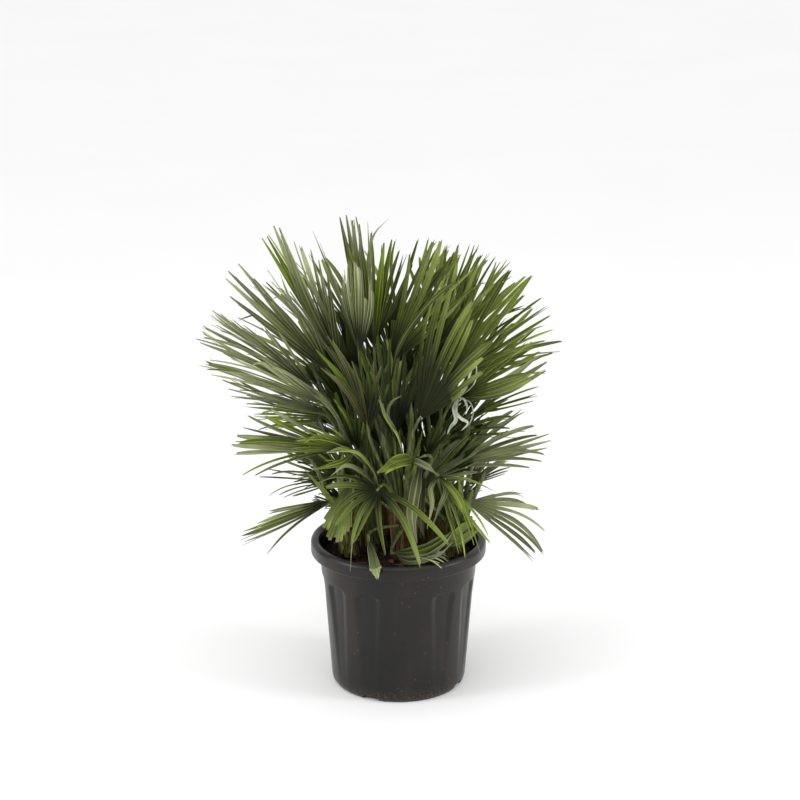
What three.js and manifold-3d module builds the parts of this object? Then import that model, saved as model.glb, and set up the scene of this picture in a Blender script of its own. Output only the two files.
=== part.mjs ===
// European fan palm in a nursery pot: a clump of short fibrous stems, each with stiff fan fronds on long
// stalks, in a fluted black pot filled with soil.
// Frame: millimetres, +Z up, origin on the floor under the middle of the pot, +X to the right and -Y
// towards the front of the plant. Bearings are degrees anticlockwise from +X, seen from above.

import * as THREE from "three";
import { mergeVertices } from "three/addons/utils/BufferGeometryUtils.js";
import Module from "manifold-3d";

const wasm = await Module();
wasm.setup();

// Gap left between neighbouring solids, and round a stem, where slanting faces narrow it
const GAP = 0.3;
const SOCKET_GAP = 0.65;

// Pot
const POT = {
  height: 242,
  footRadius: 101,
  footRound: 8,
  bodyRadiusLow: 108,
  bodyRadiusHigh: 119,
  bodyTop: 150,
  shoulderRadius: 123.5,
  shoulderTop: 187,
  collarRadius: 125.5,
  lipRadius: 140,
  lipBottom: 219,
  lipRound: 4,
  wall: 3,
  columns: 60,
};
const FLUTES = { count: 12, firstBearing: 246, depth: 4.5, halfWidth: 9, edge: 6, arch: 12 };
const NOTCHES = { count: 4, firstBearing: 245, width: 24, height: 8.5, depth: 16 };

// Soil: flat under the stems, lower at the wall of the pot
const SOIL = { top: 220, edgeDrop: 5, flatRadius: 84, clearance: 0.5, columns: 36 };

// Stems: place on the soil, lean, radius and height of each fibrous trunk
const STEMS = [
  { name: "stem_front", x: 10, y: -32, leanBearing: 265, lean: 5, radius: 19, height: 92 },
  { name: "stem_right", x: 54, y: -2, leanBearing: 350, lean: 9, radius: 17, height: 82 },
  { name: "stem_left", x: -38, y: 2, leanBearing: 175, lean: 9, radius: 18, height: 88 },
  { name: "stem_back_left", x: -22, y: 50, leanBearing: 110, lean: 7, radius: 17, height: 90 },
  { name: "stem_back_right", x: 34, y: 48, leanBearing: 70, lean: 7, radius: 17, height: 86 },
  { name: "shoot_left", x: -76, y: -26, leanBearing: 200, lean: 12, radius: 13, height: 62 },
  { name: "shoot_right", x: 86, y: -34, leanBearing: 335, lean: 12, radius: 13, height: 58 },
];
const STEM_SHAPE = { sides: 10, rings: 6, flare: 1.25, neck: 0.84, scales: 0.08, heartDepth: 0.38 };

// Leaf stalks
const STALK = {
  stations: [0, 0.3, 0.62, 0.92],
  rootRadius: 3.8,
  hubRadius: 2.3,
  rootInside: 0.6,
  bow: 0.06,
  section: [
    [0.85, 0.5],
    [0, 0.6],
    [-0.85, 0.5],
    [-0.8, -0.35],
    [0, -0.8],
    [0.8, -0.35],
  ],
};

// Fan blades. Lengths are shares of the frond's length, thicknesses are millimetres or shares of it.
const BLADE = {
  hubRing: 0.06,
  stations: [0.44, 0.8],
  cup: 0.2,
  widths: [0.88, 0.52],
  hubThickness: 3.4,
  ringThickness: 2.4,
  marginThickness: 1.4,
  ribThickness: 0.013,
  sideShorter: 0.22,
  uneven: 0.1,
  leafletPitch: 10,
};

// Ways in which a leaflet bends aside for a neighbour, tried in order: sway across the fan as a share of
// the leaflet's pitch, lift out of the fan and length as shares of the leaflet's length.
const SWAYS = [0, 0.22, -0.22, 0.42, -0.42];
const LIFTS = [0, 0.06, -0.06, 0.12, -0.12, 0.2, -0.2];
const LENGTHS = [1, 0.86, 0.72, 0.58];
const PROBE_MARGIN = 0.7;

// Fronds, by the stem that carries them: the place of the hub, where stalk and blade meet, the bearing
// and tilt of the blade's middle, its roll about that middle, the length of the longest leaflet, the
// spread of the fan, the droop of its tips and how far out it splits into leaflets.
const FRONDS = [
  // name, stem, x, y, z, bearing, tilt, roll, length, spread, droop, split
  ["left_high", 2, -106, -38, 528, 186, 45, 38, 220, 82, 0.02, 0.32],
  ["left_high_back", 2, -102, 52, 518, 162, 50, 20, 190, 80, 0.02, 0.32],
  ["left_top", 2, -92, 4, 532, 167, 63, 38, 236, 60, 0.02, 0.32],
  ["left_middle", 2, -124, -74, 504, 191, 31, 32, 224, 74, 0.03, 0.32],
  ["left_middle_back", 2, -134, 22, 492, 174, 33, 22, 200, 80, 0.03, 0.32],
  ["left_front", 5, -114, -108, 498, 198, 23, 26, 212, 76, 0.04, 0.32],
  ["left_low", 5, -118, -42, 462, 190, 19, 28, 172, 80, 0.04, 0.32],
  ["left_low_back", 2, -114, 50, 424, 165, 10, 25, 145, 84, 0.05, 0.32],
  ["left_lower", 5, -94, -62, 410, 190, 7, 62, 170, 84, 0.06, 0.32],
  ["left_bottom_back", 5, -100, 24, 324, 166, 0, 50, 128, 84, 0.06, 0.32],
  ["left_bottom", 5, -100, -38, 318, 190, -12, 55, 158, 80, 0.08, 0.32],
  ["front_hanging", 5, -74, -88, 370, 256, -66, 10, 100, 40, 0.02, 0.72],
  ["front_left_low", 5, -68, -98, 420, 200, 22, 40, 105, 84, 0.06, 0.32],
  ["front_low", 0, -30, -116, 366, 220, -40, -38, 130, 170, 0.1, 0.2],
  ["front_right_low", 6, 62, -98, 378, 325, -52, 20, 132, 50, 0.05, 0.32],
  ["front_lying", 0, -6, -104, 254, 356, 4, 10, 90, 42, 0.1, 0.3],
  ["front_folded", 0, 39, -122, 420, 200, -8, 20, 80, 32, 0.08, 0.5],
  ["centre_left", 5, -70, -4, 438, 182, 12, 45, 175, 80, 0.05, 0.32],
  ["centre_front", 0, -6, -62, 424, 120, 84, 10, 180, 64, 0.02, 0.32],
  ["centre_right", 6, 66, -10, 408, 356, 45, 50, 145, 80, 0.04, 0.32],
  ["low_left", 5, -74, 12, 326, 166, 16, 40, 125, 84, 0.06, 0.32],
  ["low_right", 6, 36, -48, 350, 0, 40, 40, 120, 80, 0.05, 0.32],
  ["front_fan", 0, 30, -104, 470, 352, 64, 58, 214, 84, 0.02, 0.32],
  ["front_left", 0, -47, -84, 453, 240, 78, 0, 125, 74, 0.02, 0.32],
  ["middle_top", 0, -16, -28, 536, 6, 61, 55, 222, 52, 0.02, 0.32],
  ["top_middle", 0, -38, -14, 562, 110, 82, 0, 175, 64, 0.02, 0.32],
  ["top_front", 0, -60, -62, 566, 225, 85, 0, 155, 48, 0.02, 0.32],
  ["right_bottom", 6, 106, -42, 316, 350, -14, 35, 142, 84, 0.08, 0.32],
  ["right_lower", 6, 78, -32, 372, 354, 21, 50, 172, 76, 0.05, 0.32],
  ["right_low_back", 6, 117, 42, 433, 12, 38, 30, 125, 80, 0.05, 0.32],
  ["right_front", 1, 92, -80, 499, 348, 29, 35, 158, 64, 0.04, 0.32],
  ["right_middle", 1, 106, 28, 508, 9, 25, 35, 170, 64, 0.04, 0.32],
  ["right_high", 1, 80, -30, 514, 352, 53, 55, 222, 72, 0.02, 0.32],
  ["right_high_back", 1, 76, 56, 516, 18, 57, 40, 200, 74, 0.02, 0.32],
  ["right_top_back", 1, 62, 86, 540, 60, 73, 25, 172, 64, 0.02, 0.32],
  ["right_top", 1, 54, 2, 554, 10, 68, 45, 178, 64, 0.02, 0.32],
  ["top_right", 4, -16, 22, 556, 18, 62, 40, 186, 56, 0.02, 0.32],
  ["top_left", 3, -52, 56, 562, 142, 80, 0, 206, 46, 0.02, 0.32],
  ["back_high_left", 3, -58, 112, 530, 116, 50, 10, 200, 84, 0.03, 0.32],
  ["back_high_middle", 4, 8, 120, 536, 88, 54, -10, 205, 84, 0.03, 0.32],
  ["back_high_right", 4, 70, 118, 520, 58, 46, 15, 200, 84, 0.03, 0.32],
  ["back_middle_left", 3, -102, 100, 462, 140, 28, -15, 180, 84, 0.04, 0.32],
  ["back_middle", 3, -34, 134, 458, 106, 24, 15, 184, 84, 0.04, 0.32],
  ["back_middle_right", 4, 40, 136, 462, 76, 26, -15, 184, 84, 0.04, 0.32],
  ["back_right", 4, 104, 100, 454, 42, 26, 15, 180, 84, 0.04, 0.32],
  ["back_low_left", 3, -72, 96, 372, 132, 6, 10, 160, 84, 0.06, 0.32],
  ["back_low", 3, 4, 122, 368, 92, 2, -10, 160, 84, 0.06, 0.32],
  ["back_low_right", 4, 78, 96, 372, 50, 6, 12, 160, 84, 0.06, 0.32],
  ["back_bottom_left", 3, -44, 90, 318, 118, -8, -10, 145, 84, 0.08, 0.32],
  ["back_bottom_right", 4, 50, 92, 318, 62, -8, 10, 145, 84, 0.08, 0.32],
  ["inner_middle", 3, -17, 40, 371, 110, 72, 0, 140, 84, 0.04, 0.32],
];

// Stalks that leave the straight line from the heart of their stem to their hub, to pass their neighbours:
// degrees round the stem and up it at the root, and how far they bow aside as a share of their length
const ROOTS = {
  left_top: { turn: -24, rise: 8 },
  left_low: { turn: -24 },
  left_lower: { turn: 72 },
  left_bottom: { rise: -16 },
  front_hanging: { rise: -16, bow: -0.06 },
  front_left_low: { turn: 48, rise: -16 },
  front_lying: { turn: -8, rise: 16, bow: -0.06 },
  centre_left: { turn: -72, rise: -32 },
  top_middle: { rise: -16 },
  right_lower: { turn: 72, rise: -32, bow: 0.08 },
  right_high: { turn: 24, rise: -16 },
  right_high_back: { turn: 48 },
  right_top_back: { rise: -16 },
  back_middle_right: { rise: -16 },
  back_low_left: { turn: -24 },
  back_low_right: { turn: 24 },
};

const COLOURS = { pot: 0x34312e, soil: 0x3a2a20, stem: 0x5d4a38, leaf: 0x4f6b35 };

const radians = THREE.MathUtils.degToRad;
const UP = new THREE.Vector3(0, 0, 1);
const at = (bearing, radius, z) => {
  const turn = radians(bearing);
  return new THREE.Vector3(radius * Math.cos(turn), radius * Math.sin(turn), z);
};

// A repeatable number from 0 to 1 for a pair of counters
function chance(i, j) {
  const value = Math.sin(12.9898 * i + 78.233 * j) * 43758.5453;
  return value - Math.floor(value);
}

// Solids

function solidOfGeometry(geometry) {
  for (const extra of ["normal", "uv"]) geometry.deleteAttribute(extra);
  const merged = mergeVertices(geometry, 1e-4);
  const vertProperties = merged.attributes.position.array;
  const corners = merged.index.array;
  const triVerts = [];
  for (let i = 0; i < corners.length; i += 3) {
    const [a, b, c] = corners.slice(i, i + 3);
    if (a !== b && b !== c && c !== a) triVerts.push(a, b, c);
  }
  return new wasm.Manifold(
    new wasm.Mesh({ numProp: 3, vertProperties, triVerts: new Uint32Array(triVerts) }),
  );
}

function solidOfFaces(points, faces) {
  const geometry = new THREE.BufferGeometry().setFromPoints(points);
  geometry.setIndex(faces.flat());
  return solidOfGeometry(geometry);
}

function largestBody(solid) {
  return solid.decompose().reduce((a, b) => (b.volume() > a.volume() ? b : a));
}

function meshOfSolid(name, solid, material) {
  const mesh = solid.getMesh();
  const geometry = new THREE.BufferGeometry();
  geometry.setAttribute("position", new THREE.BufferAttribute(mesh.vertProperties, 3));
  geometry.setIndex(new THREE.BufferAttribute(mesh.triVerts, 1));
  geometry.computeVertexNormals();
  const made = new THREE.Mesh(geometry, material);
  made.name = name;
  return made;
}

// Rings of equal counts of points, closed by a fan at each end
function loft(rings, capStart, capEnd) {
  const count = rings[0].length;
  const points = [...rings.flat(), capStart, capEnd];
  const first = points.length - 2;
  const last = points.length - 1;
  const faces = [];
  for (let k = 0; k < count; k++) {
    const next = (k + 1) % count;
    faces.push([first, next, k]);
    for (let ring = 0; ring + 1 < rings.length; ring++) {
      const low = ring * count;
      const high = low + count;
      faces.push([low + k, low + next, high + next], [low + k, high + next, high + k]);
    }
    const end = (rings.length - 1) * count;
    faces.push([last, end + k, end + next]);
  }
  return solidOfFaces(points, faces);
}

// Pot and soil

// How far the flutes press the wall in at a bearing and a height
function fluteDepth(bearing, z) {
  const period = 360 / FLUTES.count;
  const phase = (((bearing - FLUTES.firstBearing) % period) + period) % period;
  const off = Math.min(phase, period - phase);
  const rise = THREE.MathUtils.clamp(z / POT.shoulderTop, 0, 1);
  const halfWidth = FLUTES.halfWidth * (0.45 + 0.55 * rise);
  const across = THREE.MathUtils.clamp((halfWidth + FLUTES.edge / 2 - off) / FLUTES.edge, 0, 1);
  const under = THREE.MathUtils.clamp((POT.shoulderTop - z) / FLUTES.arch, 0, 1);
  return FLUTES.depth * rise * across * Math.sqrt(under);
}

// A profile of radius and height turned about the middle of the pot, with its wall pressed in
function turned(profile, columns, inset) {
  const geometry = new THREE.LatheGeometry(
    profile.map(([radius, z]) => new THREE.Vector2(radius, z)),
    columns,
  );
  geometry.rotateX(Math.PI / 2);
  const place = geometry.attributes.position;
  for (let i = 0; i < place.count; i++) {
    const [x, y, z] = [place.getX(i), place.getY(i), place.getZ(i)];
    const radius = Math.hypot(x, y);
    if (radius < POT.footRadius - 2 * POT.wall) continue;
    const inside = radius < wallRadius(z) - POT.wall / 2;
    const pressed = radius - inset(THREE.MathUtils.radToDeg(Math.atan2(y, x)), z, inside);
    place.setXY(i, (x * pressed) / radius, (y * pressed) / radius);
  }
  return solidOfGeometry(geometry);
}

// Outer radius of the plain wall at a height
function wallRadius(z) {
  const heights = [0, 3, POT.footRound + 2, POT.bodyTop, POT.shoulderTop, POT.lipBottom];
  const radii = [
    POT.footRadius,
    POT.footRadius + 4,
    POT.bodyRadiusLow,
    POT.bodyRadiusHigh,
    POT.shoulderRadius,
    POT.collarRadius,
  ];
  const i = Math.max(1, heights.findIndex((height) => height >= z));
  const share = (z - heights[i - 1]) / (heights[i] - heights[i - 1]);
  return THREE.MathUtils.lerp(radii[i - 1], radii[i], share);
}

function potSolid() {
  const archMiddle = POT.shoulderTop - FLUTES.arch / 3;
  const archFoot = POT.shoulderTop - FLUTES.arch;
  const bodyHeights = [3, POT.footRound + 2, POT.bodyTop, archFoot, archMiddle, POT.shoulderTop];
  const innerHeights = [POT.shoulderTop + POT.wall, POT.shoulderTop, POT.bodyTop, POT.wall];
  const round = POT.lipRound;
  const profile = [
    [0, 0],
    [POT.footRadius, 0],
    ...bodyHeights.map((z) => [wallRadius(z), z]),
    [wallRadius(POT.lipBottom), POT.lipBottom],
    [POT.lipRadius - round, POT.lipBottom],
    [POT.lipRadius, POT.lipBottom + round],
    [POT.lipRadius, POT.height - 1.5 * round],
    [POT.lipRadius - 1.5 * round, POT.height],
    [POT.collarRadius + round, POT.height],
    [POT.collarRadius - POT.wall + round, POT.height - POT.wall],
    [wallRadius(POT.lipBottom) - POT.wall, POT.lipBottom - POT.wall],
    ...innerHeights.map((z) => [wallRadius(z) - POT.wall, z]),
    [0, POT.wall],
  ];
  // The inner face of the wall follows the flutes, from a little above the top of their arches
  let pot = turned(profile, POT.columns, (bearing, z, inside) =>
    fluteDepth(bearing, inside && z <= POT.shoulderTop ? Math.min(z, archFoot) : z),
  );
  for (let i = 0; i < NOTCHES.count; i++) {
    const notch = new THREE.BoxGeometry(NOTCHES.depth, NOTCHES.width, 2 * NOTCHES.height);
    const bearing = NOTCHES.firstBearing + (i * 360) / NOTCHES.count;
    notch.rotateZ(radians(bearing));
    notch.translate(...at(bearing, POT.footRadius + NOTCHES.depth / 3, 0).toArray());
    pot = pot.subtract(solidOfGeometry(notch));
  }
  return pot;
}

function soilSolid() {
  const inner = (z) => wallRadius(z) - POT.wall - SOIL.clearance - (z > POT.shoulderTop ? 0 : FLUTES.depth);
  const foot = POT.wall + GAP;
  const edge = SOIL.top - SOIL.edgeDrop;
  const shoulder = POT.shoulderTop;
  const heights = [foot, POT.footRound + 2, POT.bodyTop, shoulder, shoulder + 2 * POT.wall, edge];
  const profile = [[0, foot], ...heights.map((z) => [inner(z), z])];
  profile.push([SOIL.flatRadius, SOIL.top], [0, SOIL.top]);
  return turned(profile, SOIL.columns, () => 0);
}

// Stems

// Direction of a stem, from its lean
function stemAxis(stem) {
  return at(stem.leanBearing, Math.sin(radians(stem.lean)), Math.cos(radians(stem.lean)));
}

function stemFoot(stem) {
  return new THREE.Vector3(stem.x, stem.y, SOIL.top + GAP);
}

// The heart of a stem, from which its stalks fan out
function stemHeart(stem) {
  const level = stem.height * (1 - STEM_SHAPE.heartDepth);
  return stemFoot(stem).addScaledVector(stemAxis(stem), level);
}

// A leaning trunk wrapped in the stubs of old leaf bases, wider at its foot and round at its crown
function stemSolid(stem, swell) {
  const axis = stemAxis(stem);
  const rings = [];
  for (let ring = 0; ring < STEM_SHAPE.rings; ring++) {
    const share = ring / (STEM_SHAPE.rings - 1);
    const taper = share < 0.25 ? THREE.MathUtils.lerp(STEM_SHAPE.flare, 1, share / 0.25) : 1;
    const neck = share > 0.8 ? STEM_SHAPE.neck : 1;
    const centre = stemFoot(stem).addScaledVector(axis, stem.height * share);
    rings.push(
      Array.from({ length: STEM_SHAPE.sides }, (_, k) => {
        const scale = 1 + ((ring + k) % 2 ? STEM_SHAPE.scales : 0);
        const point = at((360 * k) / STEM_SHAPE.sides, stem.radius * taper * neck * scale + swell, 0);
        if (ring === 0) point.z = -swell - (centre.z - stemFoot(stem).z);
        return point.add(centre);
      }),
    );
  }
  const foot = stemFoot(stem).addScaledVector(UP, -swell);
  const crown = stemFoot(stem).addScaledVector(axis, stem.height + 6 + swell);
  return loft(rings, foot, crown);
}

// Fronds

function frondOf(row, number) {
  const [name, stemNumber, x, y, z, bearing, tilt, roll, length, spread, droop, split] = row;
  const axis = at(bearing, Math.cos(radians(tilt)), Math.sin(radians(tilt)));
  const level = at(bearing + 90, 1, 0);
  const upper = new THREE.Vector3().crossVectors(axis, level);
  const turn = radians(roll);
  const side = level.clone().multiplyScalar(Math.cos(turn)).addScaledVector(upper, Math.sin(turn));
  const normal = new THREE.Vector3().crossVectors(axis, side);
  const hub = new THREE.Vector3(x, y, z);
  const count = Math.max(3, Math.round(spread / BLADE.leafletPitch));
  const pitch = radians(spread) / count;
  const stem = STEMS[stemNumber];
  const frond = { name, number, stem, hub, axis, side, normal, length, droop };
  frond.pitch = pitch;
  frond.split = split * length;
  frond.root = { turn: 0, rise: 0, bow: 0, ...ROOTS[name] };
  frond.leaflets = Array.from({ length: count }, (_, i) => {
    const angle = (i + 0.5) * pitch - radians(spread) / 2;
    const outward = Math.abs(angle) / (radians(spread) / 2);
    const share = 1 - BLADE.sideShorter * outward ** 2 - BLADE.uneven * chance(number, i);
    return { angle, length: length * share, sway: 0, lift: 0 };
  });
  return frond;
}

// A point of the fan at an angle from its middle and a distance from its hub
function fanPoint(frond, angle, reach) {
  const share = reach / frond.length;
  return frond.hub
    .clone()
    .addScaledVector(frond.axis, reach * Math.cos(angle))
    .addScaledVector(frond.side, reach * Math.sin(angle))
    .addScaledVector(frond.normal, BLADE.cup * reach * Math.sin(angle) ** 2)
    .addScaledVector(UP, -frond.droop * frond.length * share ** 2);
}

// Direction across the fan, and the way that its underside faces
function fanAcross(frond, angle) {
  return frond.axis
    .clone()
    .multiplyScalar(-Math.sin(angle))
    .addScaledVector(frond.side, Math.cos(angle))
    .addScaledVector(frond.normal, 2 * BLADE.cup * Math.sin(angle) * Math.cos(angle))
    .normalize();
}

function fanBelow(frond, angle) {
  const out = frond.axis.clone().multiplyScalar(Math.cos(angle));
  out.addScaledVector(frond.side, Math.sin(angle));
  return out.cross(fanAcross(frond, angle)).normalize().negate();
}

// Left edge, rib and right edge of a leaflet at a share of its free length
function leafletSection(frond, leaf, share, widthShare, swell) {
  const reach = THREE.MathUtils.lerp(frond.split, leaf.length, share);
  const angle = leaf.angle + leaf.sway * frond.pitch * share ** 2;
  const across = fanAcross(frond, angle);
  const below = fanBelow(frond, angle);
  const half = frond.split * Math.tan(frond.pitch / 2) * widthShare + swell;
  const middle = fanPoint(frond, angle, reach).addScaledVector(below, -leaf.lift * leaf.length * share ** 2);
  const keel = BLADE.ribThickness * frond.length * (1 - 0.35 * share);
  return {
    left: middle.clone().addScaledVector(across, -half),
    right: middle.clone().addScaledVector(across, half),
    top: middle.clone().addScaledVector(below, -swell),
    rib: middle.clone().addScaledVector(below, keel + swell),
    middle,
  };
}

// A leaflet alone, swollen by a margin, to find what it would touch
function leafletProbe(frond, leaf, swell) {
  const sections = [
    leafletSection(frond, leaf, 0.04, 1, swell),
    ...BLADE.stations.map((share, k) => leafletSection(frond, leaf, share, BLADE.widths[k], swell)),
  ];
  const tip = leafletSection(frond, leaf, 1 + swell / leaf.length, 0, 0).middle;
  const rings = sections.map((s) => [s.left, s.rib, s.right, s.top]);
  return loft(rings, sections[0].middle, tip);
}

// The course of a stalk, from inside its stem to the hub of its blade
function stalkCurve(frond) {
  const { turn, rise, bow } = frond.root;
  const heart = stemHeart(frond.stem);
  const way = frond.hub.clone().sub(heart);
  const span = way.length();
  const bearing = THREE.MathUtils.radToDeg(Math.atan2(way.y, way.x)) + turn;
  const climb = radians(Math.min(85, THREE.MathUtils.radToDeg(Math.asin(way.z / span)) + rise));
  const leave = at(bearing, Math.cos(climb), Math.sin(climb));
  const start = heart.clone().addScaledVector(leave, frond.stem.radius * STALK.rootInside);
  const aside = new THREE.Vector3().crossVectors(way, UP).setLength(bow * span);
  const out = start.clone().addScaledVector(leave, span * 0.2).addScaledVector(way, 0.2).add(aside);
  out.addScaledVector(UP, STALK.bow * span);
  const back = frond.hub.clone().addScaledVector(frond.axis, -span * 0.22).addScaledVector(aside, 0.6);
  return new THREE.CubicBezierCurve3(start, out, back, frond.hub);
}

// Six points round the stalk, flat above and keeled below, in the order of the blade's own hub
function stalkSection(frond, curve, share) {
  const along = curve.getTangentAt(share);
  const side = frond.side.clone().addScaledVector(along, -frond.side.dot(along)).normalize();
  const upper = new THREE.Vector3().crossVectors(along, side);
  const radius = THREE.MathUtils.lerp(STALK.rootRadius, STALK.hubRadius, share);
  return STALK.section.map(([across, high]) =>
    curve
      .getPointAt(share)
      .addScaledVector(side, across * radius)
      .addScaledVector(upper, high * radius),
  );
}

// A frond as one closed solid: the stalk, the web from the hub to the split, and the leaflets past it,
// each with a rib below. A leaflet that is left out is closed off at the split.
function frondSolid(frond, leaves) {
  const points = [];
  const faces = [];
  const add = (point) => points.push(point) - 1;
  const onFan = (angle, reach, depth) =>
    add(fanPoint(frond, angle, reach).addScaledVector(fanBelow(frond, angle), depth));
  const half = (frond.leaflets.length * frond.pitch) / 2;
  const ring = BLADE.hubRing * frond.length;
  const hubTop = onFan(0, 0, 0);
  const hubUnder = onFan(0, 0, BLADE.hubThickness);
  const edges = Array.from({ length: frond.leaflets.length + 1 }, (_, v) => {
    const angle = v * frond.pitch - half;
    return {
      hubTop: onFan(angle, ring, 0),
      hubUnder: onFan(angle, ring, BLADE.ringThickness),
      splitTop: onFan(angle, frond.split, 0),
      splitUnder: onFan(angle, frond.split, BLADE.marginThickness),
    };
  });
  frond.leaflets.forEach((nominal, i) => {
    const leaf = leaves[i];
    const [a, b] = [edges[i], edges[i + 1]];
    const rib = add(leafletSection(frond, leaf ?? nominal, 0, 1, 0).rib);
    faces.push([hubTop, a.hubTop, b.hubTop], [hubUnder, b.hubUnder, a.hubUnder]);
    faces.push([a.hubTop, a.splitTop, b.splitTop], [a.hubTop, b.splitTop, b.hubTop]);
    faces.push([a.hubUnder, rib, a.splitUnder], [a.hubUnder, b.hubUnder, rib]);
    faces.push([b.hubUnder, b.splitUnder, rib]);
    if (!leaf) {
      faces.push([a.splitTop, a.splitUnder, rib], [a.splitTop, rib, b.splitTop]);
      faces.push([b.splitTop, rib, b.splitUnder]);
      return;
    }
    const [low, high] = BLADE.stations.map((share, k) => {
      const section = leafletSection(frond, leaf, share, BLADE.widths[k], 0);
      return { left: add(section.left), right: add(section.right), rib: add(section.rib) };
    });
    const tip = add(leafletSection(frond, leaf, 1, 0, 0).middle);
    faces.push([a.splitTop, low.left, low.right], [a.splitTop, low.right, b.splitTop]);
    faces.push([a.splitTop, a.splitUnder, low.left], [b.splitTop, low.right, b.splitUnder]);
    faces.push([a.splitUnder, rib, low.rib], [a.splitUnder, low.rib, low.left]);
    faces.push([rib, b.splitUnder, low.right], [rib, low.right, low.rib]);
    faces.push([low.left, high.left, high.right], [low.left, high.right, low.right]);
    faces.push([low.left, low.rib, high.rib], [low.left, high.rib, high.left]);
    faces.push([low.rib, low.right, high.right], [low.rib, high.right, high.rib]);
    faces.push([high.left, tip, high.right], [high.left, high.rib, tip], [high.rib, high.right, tip]);
  });
  const first = edges[0];
  const last = edges[edges.length - 1];
  faces.push([first.hubTop, first.hubUnder, first.splitUnder]);
  faces.push([first.hubTop, first.splitUnder, first.splitTop]);
  faces.push([last.hubTop, last.splitUnder, last.hubUnder]);
  faces.push([last.hubTop, last.splitTop, last.splitUnder]);

  const curve = stalkCurve(frond);
  const rings = STALK.stations.map((share) => stalkSection(frond, curve, share).map(add));
  rings.push([last.hubTop, hubTop, first.hubTop, first.hubUnder, hubUnder, last.hubUnder]);
  const root = add(curve.getPointAt(0));
  const sides = STALK.section.length;
  for (let k = 0; k < sides; k++) {
    const next = (k + 1) % sides;
    faces.push([root, rings[0][next], rings[0][k]]);
    for (let step = 0; step < STALK.stations.length; step++) {
      const [low, high] = [rings[step], rings[step + 1]];
      faces.push([low[k], low[next], high[next]], [low[k], high[next], high[k]]);
    }
  }
  return solidOfFaces(points, faces);
}

// A solid with its owner and its box, which shows quickly that two solids are far apart
function bodyOf(solid, owner) {
  const { min, max } = solid.boundingBox();
  return { solid, owner, box: new THREE.Box3(new THREE.Vector3(...min), new THREE.Vector3(...max)) };
}

function touches(a, b) {
  if (!a.box.intersectsBox(b.box)) return false;
  const common = a.solid.intersect(b.solid);
  const met = !common.isEmpty();
  common.delete();
  return met;
}

// The first way to grow a leaflet that leaves it clear of all but its own frond, or null
function clearLeaflet(frond, leaf, placed) {
  for (const length of LENGTHS) {
    for (const lift of LIFTS) {
      for (const sway of SWAYS) {
        const tried = { ...leaf, sway, lift, length: leaf.length * length };
        const probe = bodyOf(leafletProbe(frond, tried, PROBE_MARGIN), frond);
        const met = placed.some((other) => other.owner !== frond && touches(probe, other));
        probe.solid.delete();
        if (!met) return tried;
      }
    }
  }
  return null;
}

// The solids of all fronds. Stalks and webs stand first, then each leaflet in turn takes a clear place.
function growFronds(fronds, fixtures) {
  const sockets = new Map(STEMS.map((stem) => [stem, stemSolid(stem, SOCKET_GAP)]));
  const seated = (frond, leaves) => largestBody(frondSolid(frond, leaves).subtract(sockets.get(frond.stem)));
  const placed = [...fixtures, ...fronds.map((frond) => bodyOf(seated(frond, []), frond))];
  return fronds.map((frond) => {
    const leaves = frond.leaflets.map((leaf) => {
      const clear = clearLeaflet(frond, leaf, placed);
      if (clear) placed.push(bodyOf(leafletProbe(frond, clear, 0), frond));
      return clear;
    });
    return seated(frond, leaves);
  });
}

const plant = new THREE.Group();
const finish = (color, roughness) => new THREE.MeshStandardMaterial({ color, roughness, metalness: 0 });

const pot = potSolid();
const soil = soilSolid();
plant.add(meshOfSolid("pot", pot, finish(COLOURS.pot, 0.45)));
plant.add(meshOfSolid("soil", soil, finish(COLOURS.soil, 0.95)));
const trunks = STEMS.map((stem) => stemSolid(stem, 0));
STEMS.forEach((stem, i) => plant.add(meshOfSolid(stem.name, trunks[i], finish(COLOURS.stem, 0.9))));

const fronds = FRONDS.map(frondOf);
const fixtures = [pot, soil, ...trunks].map((solid) => bodyOf(solid, null));
growFronds(fronds, fixtures).forEach((solid, i) => {
  plant.add(meshOfSolid("frond_" + fronds[i].name, solid, finish(COLOURS.leaf, 0.6)));
});

export default plant;
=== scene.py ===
import math
from collections import namedtuple
from types import SimpleNamespace as Sizes

import bpy
import numpy as np
from mathutils import Matrix, Vector, noise


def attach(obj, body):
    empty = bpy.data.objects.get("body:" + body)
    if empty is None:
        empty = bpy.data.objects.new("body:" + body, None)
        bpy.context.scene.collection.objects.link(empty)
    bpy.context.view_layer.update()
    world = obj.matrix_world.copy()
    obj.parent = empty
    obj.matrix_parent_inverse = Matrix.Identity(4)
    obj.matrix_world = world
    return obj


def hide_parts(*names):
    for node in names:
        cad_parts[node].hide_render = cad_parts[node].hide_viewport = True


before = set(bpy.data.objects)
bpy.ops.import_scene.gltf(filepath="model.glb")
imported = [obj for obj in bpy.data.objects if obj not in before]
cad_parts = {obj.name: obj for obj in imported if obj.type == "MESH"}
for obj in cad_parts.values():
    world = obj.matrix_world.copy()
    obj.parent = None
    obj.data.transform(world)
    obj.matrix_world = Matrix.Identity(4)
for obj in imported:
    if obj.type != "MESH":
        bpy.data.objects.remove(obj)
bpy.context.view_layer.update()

MM = 0.001
UP = Vector((0, 0, 1))
FRONT = Vector((0, -1, 0))
GOLDEN_TURN = 137.5
CHANCE = (12.9898, 78.233, 43758.5453)

# Camera at the height and distance of the photograph
CAMERA = Sizes(down=17.5, distance=3500, aim=(2.5, 0, 471), lens=100.4, sensor=36)

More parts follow.
